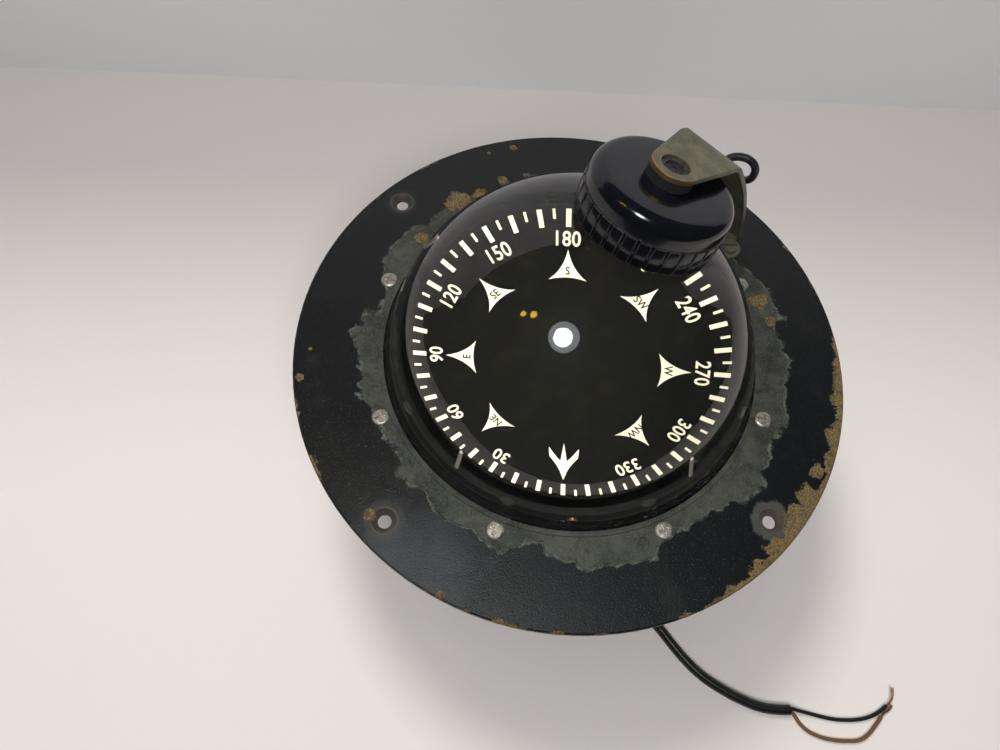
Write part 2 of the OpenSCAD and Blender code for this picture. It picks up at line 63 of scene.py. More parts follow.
class Sock:
    """A shader output that takes part in plain arithmetic."""

    def __init__(self, shader: "Shader", socket: bpy.types.NodeSocket) -> None:
        """Wrap one output.

        Args:
            shader: The material graph that the output belongs to.
            socket: The output itself.
        """
        self.shader = shader
        self.socket = socket

    def math(self, operation: str, a: Any, b: Any = 0.0) -> "Sock":
        """Add one Math node.

        Args:
            operation: The Math node's operation.
            a: First value or link.
            b: Second value or link.

        Returns:
            The node's result.
        """
        return self.shader.node("ShaderNodeMath", {"operation": operation}, {0: a, 1: b})

    def __add__(self, other: Any) -> "Sock":
        """Sum."""
        return self.math("ADD", self, other)

    def __radd__(self, other: Any) -> "Sock":
        """Sum, with the number first."""
        return self.math("ADD", other, self)

    def __sub__(self, other: Any) -> "Sock":
        """Difference."""
        return self.math("SUBTRACT", self, other)

    def __rsub__(self, other: Any) -> "Sock":
        """Difference, with the number first."""
        return self.math("SUBTRACT", other, self)

    def __mul__(self, other: Any) -> "Sock":
        """Product."""
        return self.math("MULTIPLY", self, other)

    def __rmul__(self, other: Any) -> "Sock":
        """Product, with the number first."""
        return self.math("MULTIPLY", other, self)

    def __truediv__(self, other: Any) -> "Sock":
        """Quotient."""
        return self.math("DIVIDE", self, other)

    def __pow__(self, other: Any) -> "Sock":
        """Power."""
        return self.math("POWER", self, other)

    def __abs__(self) -> "Sock":
        """Size without sign."""
        return self.math("ABSOLUTE", self)

    def most(self, other: Any) -> "Sock":
        """The larger of two values."""
        return self.math("MAXIMUM", self, other)

    def least(self, other: Any) -> "Sock":
        """The smaller of two values."""
        return self.math("MINIMUM", self, other)

    def part(self) -> "Sock":
        """The fraction left over from whole numbers."""
        return self.math("FRACT", self)

    def ease(self, low: float, high: float) -> "Sock":
        """A smooth step from 0 to 1.

        Args:
            low: The value that gives 0.
            high: The value that gives 1.

        Returns:
            The eased value.
        """
        return self.shader.node(
            "ShaderNodeMapRange",
            {"interpolation_type": "SMOOTHSTEP"},
            {"Value": self, "From Min": low, "From Max": high},
        )


class Shader:
    """A material's node graph, written as expressions."""

    def __init__(self, name: str) -> None:
        """Start an empty material.

        Args:
            name: The material's name.
        """
        self.material = bpy.data.materials.new(name)
        self.material.use_nodes = True
        self.tree = self.material.node_tree
        self.tree.nodes.clear()

    def node(
        self,
        kind: str,
        settings: Optional[dict[str, Any]] = None,
        values: Optional[dict[Any, Any]] = None,
        out: Union[int, str] = 0,
    ) -> Sock:
        """Add any node: its settings first, and then its sockets.

        Args:
            kind: The node's type.
            settings: Its properties, or a ramp's stops.
            values: Sockets by name or number, each a value or a link.
            out: The output that is wanted.

        Returns:
            That output.
        """
        made = self.tree.nodes.new(kind)
        for key, value in (settings or {}).items():
            if key == "stops":
                ramp = made.color_ramp
                while len(ramp.elements) < len(value):
                    ramp.elements.new(0.5)
                for stop, (place, colour) in zip(ramp.elements, value):
                    stop.position = place
                    stop.color = (*colour, 1.0)
            else:
                setattr(made, key, value)
        for key, value in (values or {}).items():
            socket = made.inputs[key]
            if isinstance(value, Sock):
                self.tree.links.new(value.socket, socket)
            elif socket.type == "RGBA" and len(value) == 3:
                socket.default_value = (*value, 1.0)
            else:
                socket.default_value = value
        return Sock(self, made.outputs[out])

    def place(
        self, centre: Sequence[float] = (0, 0, 0), turn: Sequence[float] = (0, 0, 0)
    ) -> Sock:
        """Object coordinates, measured from a centre and in turned axes.

        Args:
            centre: The point that becomes the origin, in metres.
            turn: The axes' Euler angles.

        Returns:
            The coordinates.
        """
        here = self.node("ShaderNodeTexCoord", out="Object")
        return self.node(
            "ShaderNodeMapping",
            {"vector_type": "TEXTURE"},
            {"Vector": here, "Location": tuple(centre), "Rotation": tuple(turn)},
        )

    def split(self, vector: Sock) -> tuple[Sock, Sock, Sock]:
        """The three parts of a vector."""
        made = self.tree.nodes.new("ShaderNodeSeparateXYZ")
        self.tree.links.new(vector.socket, made.inputs[0])
        return tuple(Sock(self, made.outputs[i]) for i in range(3))

    def join(self, x: Any, y: Any, z: Any) -> Sock:
        """A vector from three parts."""
        return self.node("ShaderNodeCombineXYZ", values={0: x, 1: y, 2: z})

    def noise(self, at: Sock, scale: float, detail: float = 5.0, rough: float = 0.6, warp: float = 0.0) -> Sock:
        """Soft noise from 0 to 1.

        Args:
            at: Where it is read.
            scale: Features to the metre.
            detail: Octaves.
            rough: How strong the finer octaves are.
            warp: Distortion.

        Returns:
            The noise.
        """
        return self.node(
            "ShaderNodeTexNoise",
            values={"Vector": at, "Scale": scale, "Detail": detail, "Roughness": rough, "Distortion": warp},
        )

    def cells(self, at: Sock, scale: float, feature: str = "F1") -> Sock:
        """Distance within scattered cells."""
        return self.node("ShaderNodeTexVoronoi", {"feature": feature}, {"Vector": at, "Scale": scale})

    def mix(self, amount: Any, a: Any, b: Any) -> Sock:
        """Blend two colours.

        Args:
            amount: 0 for the first, 1 for the second.
            a: First colour.
            b: Second colour.

        Returns:
            The blend.
        """
        return self.node("ShaderNodeMix", {"data_type": "RGBA"}, {0: amount, 6: a, 7: b}, out=2)

    def polar(self, at: Sock) -> tuple[Sock, Sock, Sock]:
        """Angle in radians, radius in metres and height about the vertical axis of at."""
        x, y, z = self.split(at)
        return x.math("ARCTAN2", y, x), (x * x + y * y) ** 0.5, z

    def bump(self, height: Sock, depth: float, strength: float = 1.0, over: Optional[Sock] = None) -> Sock:
        """A normal from a height.

        Args:
            height: The height, about 0 to 1.
            depth: What 1 stands for, in metres.
            strength: How much of it is used.
            over: A normal that this one builds on.

        Returns:
            The normal.
        """
        values = {"Height": height, "Distance": depth, "Strength": strength}
        if over is not None:
            values["Normal"] = over
        return self.node("ShaderNodeBump", values=values)

    def finish(self, surface: Sock) -> None:
        """Send a surface to the output."""
        self.node_out = self.tree.nodes.new("ShaderNodeOutputMaterial")
        self.tree.links.new(surface.socket, self.node_out.inputs["Surface"])

    def solid(self, colour: Any, rough: Any, metal: Any = 0.0, normal: Optional[Sock] = None, **more: Any) -> None:
        """A whole surface from one Principled shader.

        Args:
            colour: Base colour.
            rough: Roughness.
            metal: Metallic.
            normal: Normal, if it has relief.
            **more: Other sockets, with _ for a space.
        """
        values = {"Base Color": colour, "Roughness": rough, "Metallic": metal}
        if normal is not None:
            values["Normal"] = normal
        values.update({key.replace("_", " "): value for key, value in more.items()})
        self.finish(self.node("ShaderNodeBsdfPrincipled", values=values))


# ---------------------------------------------------------------- finishes


@dataclass(frozen=True)
class Finish:
    """One finish, made once and shared by the pieces that wear it."""

    name: str

    def material(self) -> bpy.types.Material:
        """The finish as a material, made the first time it is asked for."""
        known = bpy.data.materials.get(self.name)
        if known is None:
            shader = Shader(self.name)
            self.dress(shader)
            known = shader.material
        return known

    def dress(self, sh: Shader) -> None:
        """Fill the graph.

        Args:
            sh: The empty graph.
        """
        raise NotImplementedError


class Grain(Enum):
    """How a metal's surface was left."""

    CAST = "cast"
    TURNED = "turned"
    DRAWN = "drawn"


@dataclass(frozen=True)
class AgedMetal(Finish):
    """Metal that has dulled in blotches, with pits and a machined or cast grain."""

    bright: Colour = (0.6, 0.5, 0.3)
    dull: Colour = (0.2, 0.17, 0.1)
    rough: float = 0.35
    blotch: float = 160.0
    cover: float = 0.5
    grain: Grain = Grain.TURNED
    metal: float = 1.0

    def dress(self, sh: Shader) -> None:
        """Blotches of tarnish over the bright metal, and its grain as relief."""
        at = sh.place()
        broad = sh.noise(at, self.blotch, 6.0, 0.62, 0.3)
        fine = sh.noise(at, self.blotch * 9.0, 4.0, 0.6)
        dulled = (broad * 0.72 + fine * 0.28 + (self.cover - 0.5)).ease(0.4, 0.64)
        angle, radius, height = sh.polar(at)
        if self.grain is Grain.TURNED:
            marks = sh.noise(sh.join(radius * 60.0, height * 60.0, angle * 0.05), 60.0, 3.0, 0.7)
        elif self.grain is Grain.DRAWN:
            marks = sh.noise(sh.join(angle * 0.4, radius * 8.0, height * 70.0), 30.0, 3.0, 0.7)
        else:
            marks = sh.cells(at, 1400.0)
        colour = sh.mix(dulled, sh.mix(fine, self.bright, tuple(c * 0.78 for c in self.bright)), self.dull)
        relief = fine * 0.5 + marks * 0.5 - dulled * 0.25
        sh.solid(
            colour,
            (self.rough + dulled * 0.28 + marks * 0.1).least(0.95),
            self.metal - dulled * (self.metal * 0.55),
            sh.bump(relief, 0.00008, 0.55),
        )


@dataclass(frozen=True)
class DullPaint(Finish):
    """Brushed or sprayed paint with a faint texture, rubbed through in places."""

    paint: Colour = (0.03, 0.03, 0.03)
    under: Colour = (0.18, 0.15, 0.09)
    rough: float = 0.5
    worn: float = 0.3
    shine: float = 0.4

    def dress(self, sh: Shader) -> None:
        """Paint tone, dirt and worn-through spots."""
        at = sh.place()
        broad = sh.noise(at, 70.0, 6.0, 0.65, 0.2)
        fine = sh.noise(at, 1500.0, 3.0, 0.6)
        spots = sh.noise(at, 260.0, 7.0, 0.7, 0.6)
        through = (spots + broad * 0.3).ease(0.94 - self.worn * 0.4, 0.99 - self.worn * 0.4)
        tone = sh.mix(broad, tuple(c * 0.7 for c in self.paint), tuple(min(1.0, c * 1.5) for c in self.paint))
        sh.solid(
            sh.mix(through, tone, self.under),
            (broad * 0.2 + fine * 0.12 + (self.rough - 0.16) + through * 0.2).least(0.95),
            through * 0.4,
            sh.bump(fine * 0.5 + broad * 0.5 - through * 0.6, 0.00012, 0.6),
            Specular_IOR_Level=self.shine,
        )


@dataclass(frozen=True)
class Elastomer(Finish):
    """Rubber, fibre or cable skin: soft, with fine mottling and dust."""

    body: Colour = (0.02, 0.02, 0.02)
    dust: Colour = (0.09, 0.085, 0.075)
    rough: float = 0.55
    dusty: float = 0.3

    def dress(self, sh: Shader) -> None:
        """Skin tone, dust in patches and a fine moulded relief."""
        at = sh.place()
        broad = sh.noise(at, 120.0, 5.0, 0.62, 0.4)
        fine = sh.noise(at, 2600.0, 3.0, 0.6)
        dirt = (broad * 0.7 + fine * 0.3).ease(0.72 - self.dusty * 0.3, 0.92 - self.dusty * 0.25)
        tone = sh.mix(fine, self.body, tuple(min(1.0, c * 1.6) for c in self.body))
        sh.solid(
            sh.mix(dirt * 0.6, tone, self.dust),
            (fine * 0.16 + dirt * 0.2 + (self.rough - 0.08)).least(0.95),
            0.0,
            sh.bump(fine * 0.5 + broad * 0.5, 0.00008, 0.5),
        )


@dataclass(frozen=True)
class BraidedSkin(Finish):
    """Varnished braid over a cable, its weave running round the cable's own length."""

    body: Colour = (0.006, 0.007, 0.006)
    turns: float = 90.0
    rough: float = 0.34

    def dress(self, sh: Shader) -> None:
        """Crossing threads from the curve's own map, under a worn varnish."""
        u, v, _ = sh.split(sh.node("ShaderNodeTexCoord", out="UV"))
        at = sh.place()
        one = (u * self.turns + v * 3.0).math("SINE", (u * self.turns + v * 3.0) * math.tau)
        two = (u * self.turns - v * 3.0).math("SINE", (u * self.turns - v * 3.0) * math.tau)
        weave = (one * two) * 0.5 + 0.5
        broad = sh.noise(at, 210.0, 5.0, 0.65)
        fine = sh.noise(at, 2400.0, 3.0, 0.6)
        worn = (broad * 0.8 + weave * 0.2).ease(0.55, 0.85)
        sh.solid(
            sh.mix(worn, self.body, (0.045, 0.043, 0.036)),
            weave * 0.12 + worn * 0.2 + (self.rough - 0.05),
            0.0,
            sh.bump(weave * 0.7 + fine * 0.3, 0.00016, 0.7),
        )


@dataclass(frozen=True)
class FlangeLacquer(Finish):
    """Stove lacquer on bronze: pitted, chipped to ochre primer, and bare round the dome."""

    bare_to: float = 88.0
    chips: tuple[tuple[float, float, float], ...] = (
        (-49, 74, 7.5), (-38, 80, 4.5), (-27, 88, 3.6), (-64, 54, 5.0), (-22, 108, 3.0), (-34, 104, 2.0),
        (84, 24, 5.2), (88, 13, 3.6), (79, 34, 3.0), (96, -54, 5.5), (91, -64, 7.0), (84, -72, 6.5), (74, -85, 7.5),
        (105, -38, 3.5), (66, -90, 3.0), (-111, -15, 2.6), (-108, -2, 1.6), (38, -110, 3.0), (-52, -101, 2.0),
        (-79, -72, 3.0),
    )

    def dress(self, sh: Shader) -> None:
        """Lacquer, the bare ring with its raised green rim, primer chips, edge wear and pits; a painted sheen patch
        at the lower left and painted shade at the panel holes.
        """
        at = sh.place()
        x, y, _ = sh.split(at)
        angle, radius, _ = sh.polar(at)
        r = radius / MM
        ragged = sh.noise(at, 75.0, 9.0, 0.68, 0.5)
        torn = sh.noise(at, 240.0, 7.0, 0.7, 0.3)
        grit = sh.noise(at, 1300.0, 4.0, 0.65)
        pits = sh.cells(at, 900.0)
        # bare ring
        broad = sh.noise(at, 34.0, 3.0, 0.5, 0.4)
        right = (x / radius).ease(0.55, 0.95)
        margin = (self.bare_to - r) + right * 4.5 + (broad - 0.5) * 28.0 + (ragged - 0.5) * 9.0 + (torn - 0.5) * 2.0
        bare = margin.ease(-0.35, 0.5)
        rim = (1.0 - abs(margin) / 0.9).most(0.0)
        # primer chips
        near: Optional[Sock] = None
        for cx, cy, size in self.chips:
            dx, dy = x / (size * MM) - cx / size, y / (size * MM) - cy / size
            here = 1.0 - (dx * dx + dy * dy) ** 0.5
            near = here if near is None else near.most(here)
        chip = (near.most(-1.0) + (torn - 0.5) * 1.6 + (ragged - 0.5) * 2.4).ease(0.3, 0.36)
        lean = (x * 0.87 - y * 0.49) / radius
        side = lean.ease(0.72, 0.95)
        edge = (r + side * 4.2 + (torn - 0.5) * 6.0 + (ragged - 0.5) * 14.0).ease(115.2, 115.6)
        chip = chip.most(edge)
        # rubbed bosses at the four panel holes, and a brown tint at the holes that is painted shade
        hx, hy = abs(x) / MM - 73.7, abs(y) / MM - 73.7
        boss = (8.2 - (hx * hx + hy * hy) ** 0.5 + (torn - 0.5) * 6.0).ease(-0.4, 1.2)
        painted_hole_shade = (5.6 - (hx * hx + hy * hy) ** 0.5 + (torn - 0.5) * 2.0).ease(-0.4, 0.6)
        specks = (grit * 0.6 + torn * 0.4).ease(0.66, 0.7)
        smear = sh.noise(sh.join(angle * 2.2, radius * 18.0, 0.0), 3.0, 6.0, 0.6).ease(0.5, 0.72)
        black = sh.mix(smear * 0.12 + specks * 0.45, (0.0032, 0.004, 0.0046), (0.03, 0.027, 0.021))
        # painted highlight: a pale bluish patch at the lower left stands in for a lamp's sheen on the lacquer
        dx, dy = x / (32.0 * MM) + 1.95, y / (26.0 * MM) + 3.3
        painted_sheen = (1.0 - (dx * dx + dy * dy) ** 0.5 + (broad - 0.5) * 1.4 + (ragged - 0.5) * 0.8).ease(0.0, 0.9)
        black = sh.mix(painted_sheen * 0.5, black, (0.05, 0.056, 0.064))
        patina = sh.mix(ragged.ease(0.35, 0.65), (0.032, 0.036, 0.031), (0.078, 0.084, 0.07))
        patina = sh.mix(grit.ease(0.52, 0.72), patina, (0.13, 0.135, 0.105))
        patina = sh.mix((torn - 0.1).ease(0.42, 0.56) * 0.55, patina, (0.02, 0.019, 0.016))
        primer = sh.mix(grit.ease(0.35, 0.62), (0.19, 0.135, 0.055), (0.075, 0.055, 0.027))
        primer = sh.mix(torn.ease(0.52, 0.6) * 0.7, primer, (0.035, 0.03, 0.02))
        colour = sh.mix(bare, black, patina)
        colour = sh.mix(rim * torn.ease(0.4, 0.6) * 0.8, colour, (0.15, 0.18, 0.135))
        boss = boss * (x / MM).ease(20.0, 60.0).most(0.25) * (y / MM).ease(60.0, 20.0).most(0.45)
        colour = sh.mix(boss * (1.0 - bare) * 0.85, colour, (0.055, 0.06, 0.056))
        # painted shade: the brown tint at the holes stands in for the shaded table seen through them
        colour = sh.mix(painted_hole_shade * 0.75, colour, (0.06, 0.048, 0.038))
        colour = sh.mix(chip, colour, primer)
        rough = 0.3 + grit * 0.14 + bare * 0.22 + boss * 0.15 + chip * 0.35 + smear * 0.1
        height = (
            (1.0 - bare) * 0.8 + rim * 0.8 + grit * 0.28 + torn * 0.22 - chip * 0.6 - specks * 0.25
            - pits.ease(0.32, 0.05) * 0.25
        )
        sh.solid(colour, rough.least(0.95), bare * 0.45 * (1.0 - chip), sh.bump(height, 0.00032, 0.75))


@dataclass(frozen=True)
class StrapPatina(Finish):
    """Bronze strap gone olive, speckled, and rubbed to brass round its tongue."""

    def dress(self, sh: Shader) -> None:
        """Olive patina with specks, a brassy rubbed rim at the tongue and dark hollows."""
        at = sh.place(HOOD_PLACE @ Vector((0, 0, 24.0 * MM)), (0, HOOD_TILT, HOOD_TURN))
        _, radius, height = sh.polar(at)
        broad = sh.noise(at, 110.0, 7.0, 0.68, 0.4)
        fine = sh.noise(at, 1500.0, 5.0, 0.7)
        specks = sh.cells(at, 700.0)
        r = radius / MM
        x, _, _ = sh.split(at)
        tongue = (r + (broad - 0.5) * 3.0).ease(7.2, 8.9) * (
            x / MM + (broad - 0.5) * 6.0
        ).ease(3.5, -1.5) * (abs(height) / MM).ease(2.4, 1.2)
        tongue = tongue.most((r + (broad - 0.5) * 2.0).ease(6.3, 5.2) * 0.35)
        colour = sh.mix(broad.ease(0.35, 0.66), (0.105, 0.112, 0.082), (0.2, 0.185, 0.125))
        colour = sh.mix(fine.ease(0.5, 0.72) * 0.75, colour, (0.045, 0.044, 0.032))
        colour = sh.mix(specks.ease(0.2, 0.08) * 0.5, colour, (0.3, 0.28, 0.19))
        colour = sh.mix(tongue * 0.85, colour, (0.36, 0.24, 0.105))
        sh.solid(
            colour,
            0.42 + fine * 0.2 - tongue * 0.1,
            0.5 + tongue * 0.35,
            sh.bump(fine * 0.6 + broad * 0.3 - specks.ease(0.2, 0.08) * 0.3, 0.00016, 0.6),
        )


@dataclass(frozen=True)
class HoodMoulding(Finish):
    """Glossy black moulding with hairline scratches, and dust where its ribs and seam catch it."""

    ribs: int = 0

    def dress(self, sh: Shader) -> None:
        """Gloss, scratches and dust in the hood's own axes."""
        at = sh.place(HOOD_PLACE.translation, (0, HOOD_TILT, HOOD_TURN))
        angle, radius, height = sh.polar(at)
        broad = sh.noise(at, 90.0, 5.0, 0.6, 0.4)
        fine = sh.noise(at, 2200.0, 4.0, 0.65)
        drag = sh.noise(sh.join(angle * 1.2, radius * 260.0, height * 900.0), 2.2, 5.0, 0.7)
        scuff = (drag * 0.7 + fine * 0.3).ease(0.6, 0.75)
        dust = (fine * 0.5 + broad * 0.5).ease(0.56, 0.78) * 0.16
        h = height / MM
        seam = (1.0 - abs(h - 10.2) / 0.55).most(0.0) * broad.ease(0.3, 0.62)
        if self.ribs:
            phase = (angle * (self.ribs / math.tau) + 100.0).part()
            lip = (1.0 - abs(phase - 0.93) / 0.04).most((1.0 - abs(phase - 0.17) / 0.04)).most(0.0)
            lip = lip * (radius / MM).ease(26.3, 26.7) * (fine * 0.5 + broad * 0.5).ease(0.36, 0.6)
            foot = (1.0 - abs(h - 0.25) / 0.5).most(0.0) * fine.ease(0.45, 0.6)
            seam = seam.most(lip * 0.55).most(foot * 0.5)
        colour = sh.mix(dust.most(seam * 0.75), (0.0032, 0.0038, 0.0062), (0.13, 0.125, 0.115))
        sh.solid(
            colour,
            (0.13 + scuff * 0.07 + dust * 0.8 + seam * 0.35).least(0.9),
            0.0,
            sh.bump(drag * 0.5 + fine * 0.25 + broad * 0.3, 0.00003, 0.3),
            IOR=1.54,
        )


@dataclass(frozen=True)
class SealantGloss(Finish):
    """Black sealant wiped on by hand: wet-looking, drawn out into ridges round the dome."""

    def dress(self, sh: Shader) -> None:
        """Long ridges and lumps that break up the shine, and painted highlight streaks on the near side."""
        at = sh.place()
        angle, radius, height = sh.polar(at)
        drawn = sh.noise(sh.join(angle * 11.0, radius * 520.0, height * 620.0), 1.5, 5.0, 0.6, 0.6)
        lumps = sh.noise(at, 320.0, 5.0, 0.6, 0.5)
        fine = sh.noise(at, 1900.0, 3.0, 0.6)
        grime = (lumps * 0.6 + fine * 0.4).ease(0.6, 0.72)
        x, y, _ = sh.split(at)
        # painted highlight: pale streaks on the near side stand in for the lamp's glints on the ridges
        front = ((x * 0.5 - y * 0.87) / radius).ease(0.45, 0.95)
        patchy = sh.noise(at, 60.0, 3.0, 0.5).ease(0.42, 0.6)
        thread = sh.noise(sh.join(angle * 16.0, radius * 900.0, height * 1100.0), 1.6, 6.0, 0.7, 0.5)
        painted_highlight_streaks = thread.ease(0.6, 0.66) * front * patchy
        sh.solid(
            sh.mix(painted_highlight_streaks, sh.mix(grime * 0.5, (0.003, 0.003, 0.0033), (0.06, 0.057, 0.045)), (0.62, 0.63, 0.62)),
            0.08 + grime * 0.3 + fine * 0.06,
            0.0,
            sh.bump(drawn * 0.9 + lumps * 0.5, 0.0022, 1.0),
        )


@dataclass(frozen=True)
class ClearPart(Finish):
    """Clear moulding or glass, with a veil of fine wear, that lets the light through."""

    tint: Colour = (1.0, 1.0, 1.0)
    ior: float = 1.49
    veil: float = 0.05
    veil_rough: float = 0.32
    centre: tuple[float, float, float] = (0.0, 0.0, 0.0)

    def dress(self, sh: Shader) -> None:
        """Clear body, a hazy worn skin over it, and light straight through for shadows."""
        at = sh.place(self.centre)
        angle, radius, height = sh.polar(at)
        swirl = sh.noise(sh.join(angle * 0.6, radius * 900.0, height * 300.0), 2.0, 5.0, 0.75)
        dust = sh.noise(at, 1100.0, 5.0, 0.7)
        broad = sh.noise(at, 60.0, 4.0, 0.6)
        clear = sh.node(
            "ShaderNodeBsdfGlass",
            {"distribution": "GGX"},
            {"Color": self.tint, "Roughness": 0.0, "IOR": self.ior},
        )
        skin = sh.node(
            "ShaderNodeBsdfPrincipled",
            values={"Base Color": (0.5, 0.5, 0.48), "Roughness": self.veil_rough, "Metallic": 1.0},
        )
        amount = swirl.ease(0.45, 0.75) * self.veil + dust.ease(0.66, 0.74) * (self.veil * 1.4) + broad * (
            self.veil * 0.35
        )
        body = self.joined(sh, amount, clear, skin) if self.veil else clear
        through = sh.node("ShaderNodeBsdfTransparent", values={"Color": self.tint})
        shadow = sh.node("ShaderNodeLightPath", out="Is Shadow Ray")
        sh.finish(self.joined(sh, shadow, body, through))

    @staticmethod
    def joined(sh: Shader, amount: Sock, a: Sock, b: Sock) -> Sock:
        """Mix two shaders by an amount."""
        return sh.node("ShaderNodeMixShader", values={0: amount, 1: a, 2: b})


@dataclass(frozen=True)
class CardPrint(Finish):
    """Flat printed colour on the card, a little aged and mottled."""

    ink: Colour = (0.86, 0.82, 0.6)
    stain: Colour = (0.6, 0.52, 0.3)
    rough: float = 0.55
    stained: float = 0.35

    def dress(self, sh: Shader) -> None:
        """Ink tone with faint stains and a grainy edge to the gloss."""
        at = sh.place()
        broad = sh.noise(at, 140.0, 6.0, 0.65, 0.3)
        fine = sh.noise(at, 3200.0, 3.0, 0.6)
        tone = broad.ease(0.42, 0.78) * self.stained + fine.ease(0.6, 0.8) * 0.12
        sh.solid(
            sh.mix(tone, self.ink, self.stain),
            self.rough + fine * 0.12,
            0.0,
            sh.bump(fine, 0.00003, 0.5),
            Specular_IOR_Level=0.02,
        )


@dataclass(frozen=True)
class StudioPaper(Finish):
    """Pale stage surface with a trace of tooth; its back lets the view through."""

    tone: Colour = (0.8, 0.78, 0.76)
    one_sided: bool = False

    def dress(self, sh: Shader) -> None:
        """Even pale tone with slight mottling."""
        at = sh.place()
        broad = sh.noise(at, 2.5, 4.0, 0.5)
        fine = sh.noise(at, 420.0, 4.0, 0.6)
        face = sh.node(
            "ShaderNodeBsdfPrincipled",
            values={
                "Base Color": sh.mix(broad * 0.6 + fine * 0.2, self.tone, tuple(c * 0.94 for c in self.tone)),
                "Roughness": 0.62,
                "Specular IOR Level": 0.3,
                "Normal": sh.bump(fine, 0.0001, 0.25),
            },
        )
        if self.one_sided:
            back = sh.node("ShaderNodeNewGeometry", out="Backfacing")
            face = ClearPart.joined(sh, back, face, sh.node("ShaderNodeBsdfTransparent"))
        sh.finish(face)


LACQUER = FlangeLacquer("flange_lacquer")
PATINA = StrapPatina("strap_patina")
HOOD_GLOSS = HoodMoulding("hood_gloss")
RING_GLOSS = HoodMoulding("ring_gloss", ribs=32)
SEALANT = SealantGloss("sealant_gloss")
DOME_OUT = ClearPart("dome_outer", ior=1.49, veil=0.011, centre=(-0.012, -0.029, 0.146))
DOME_IN = ClearPart("dome_inner", ior=1.0205, veil=0.0)
BULB = ClearPart("bulb_glass_clear", ior=1.45, veil=0.03, centre=tuple(HOOD_PLACE.translation))
RED_GLASS = ClearPart(
    "filter_glass", tint=(0.75, 0.02, 0.012), ior=1.5, veil=0.04, centre=tuple(HOOD_PLACE.translation)
)
JEWEL = ClearPart("pivot_stone", tint=(0.8, 0.08, 0.16), ior=1.76, veil=0.02)
IVORY = CardPrint("ivory_print")
BLACK_INK = CardPrint("black_print", ink=(0.008, 0.008, 0.007), stain=(0.03, 0.028, 0.02), rough=0.5)
CARD_FIELD = CardPrint(
    "card_field", ink=(0.0065, 0.0065, 0.005), stain=(0.014, 0.0135, 0.0095), rough=0.48, stained=0.6
)
FLOAT_SKIN = CardPrint("float_lacquer", ink=(0.52, 0.49, 0.4), stain=(0.34, 0.3, 0.2), rough=0.4)
PLATED = AgedMetal(
    "plated_screw_metal", bright=(0.66, 0.63, 0.56), dull=(0.3, 0.28, 0.23), rough=0.38, blotch=420.0, cover=0.45,
    grain=Grain.CAST
)
OLIVE_SCREW = AgedMetal(
    "olive_screw_metal", bright=(0.24, 0.22, 0.15), dull=(0.11, 0.105, 0.075), rough=0.42, blotch=380.0, cover=0.52,
    grain=Grain.CAST, metal=0.7
)
BRASS = AgedMetal(
    "turned_brass", bright=(0.62, 0.46, 0.2), dull=(0.22, 0.16, 0.075), rough=0.3, blotch=240.0, cover=0.42
)
DUSTY_SOCKET = AgedMetal(
    "dusty_socket", bright=(0.05, 0.052, 0.056), dull=(0.014, 0.015, 0.018), rough=0.6, blotch=500.0, cover=0.5,
    grain=Grain.CAST, metal=0.1
)
COVER_BRASS = AgedMetal(
    "cover_brass_dull", bright=(0.42, 0.34, 0.17), dull=(0.13, 0.115, 0.07), rough=0.42, blotch=90.0, cover=0.55
)
MAGNET = AgedMetal(
    "magnet_steel_ground", bright=(0.36, 0.36, 0.38), dull=(0.12, 0.1, 0.09), rough=0.35, blotch=300.0, cover=0.4,
    grain=Grain.DRAWN
)
PIVOT = AgedMetal(
    "pivot_steel_polished", bright=(0.68, 0.68, 0.7), dull=(0.36, 0.36, 0.37), rough=0.15, blotch=500.0, cover=0.3
)
LEAD_WEIGHT = AgedMetal(
    "cast_lead", bright=(0.26, 0.27, 0.29), dull=(0.12, 0.12, 0.12), rough=0.55, blotch=120.0, cover=0.5,
    grain=Grain.CAST
)
PIN = AgedMetal(
    "lubber_pin_metal", bright=(0.62, 0.57, 0.46), dull=(0.3, 0.27, 0.2), rough=0.4, blotch=400.0, cover=0.4,
    grain=Grain.DRAWN, metal=0.5
)
COPPER = AgedMetal(
    "copper_strand_metal", bright=(0.62, 0.3, 0.15), dull=(0.16, 0.08, 0.05), rough=0.3, blotch=350.0, cover=0.5,
    grain=Grain.DRAWN
)
BOWL_PAINT = DullPaint(
    "bowl_paint_dark", paint=(0.022, 0.025, 0.022), under=(0.16, 0.135, 0.075), rough=0.55, worn=0.35
)
GIMBAL_PAINT = DullPaint(
    "gimbal_paint_black", paint=(0.008, 0.008, 0.008), under=(0.03, 0.027, 0.02), rough=0.55, worn=0.08, shine=0.03
)
RUBBER = Elastomer("black_rubber_matt", body=(0.012, 0.012, 0.012), rough=0.6)
FIBRE = Elastomer("fibre_washer_red", body=(0.24, 0.06, 0.035), dust=(0.3, 0.2, 0.14), rough=0.75)
INSULATOR = Elastomer(
    "insulator_brown_moulding", body=(0.012, 0.01, 0.009), dust=(0.05, 0.052, 0.055), rough=0.5, dusty=0.5
)
CORE_BLACK = Elastomer("core_black_skin", body=(0.008, 0.008, 0.008), rough=0.4, dusty=0.4)
CORE_BROWN = Elastomer("core_brown_skin", body=(0.12, 0.06, 0.028), dust=(0.2, 0.14, 0.09), rough=0.45, dusty=0.35)
JACKET = BraidedSkin("cable_jacket_braid")
LEAD_SKIN = BraidedSkin("lead_braid", body=(0.01, 0.009, 0.009), turns=300.0)


# ---------------------------------------------------------------- modelling by hand


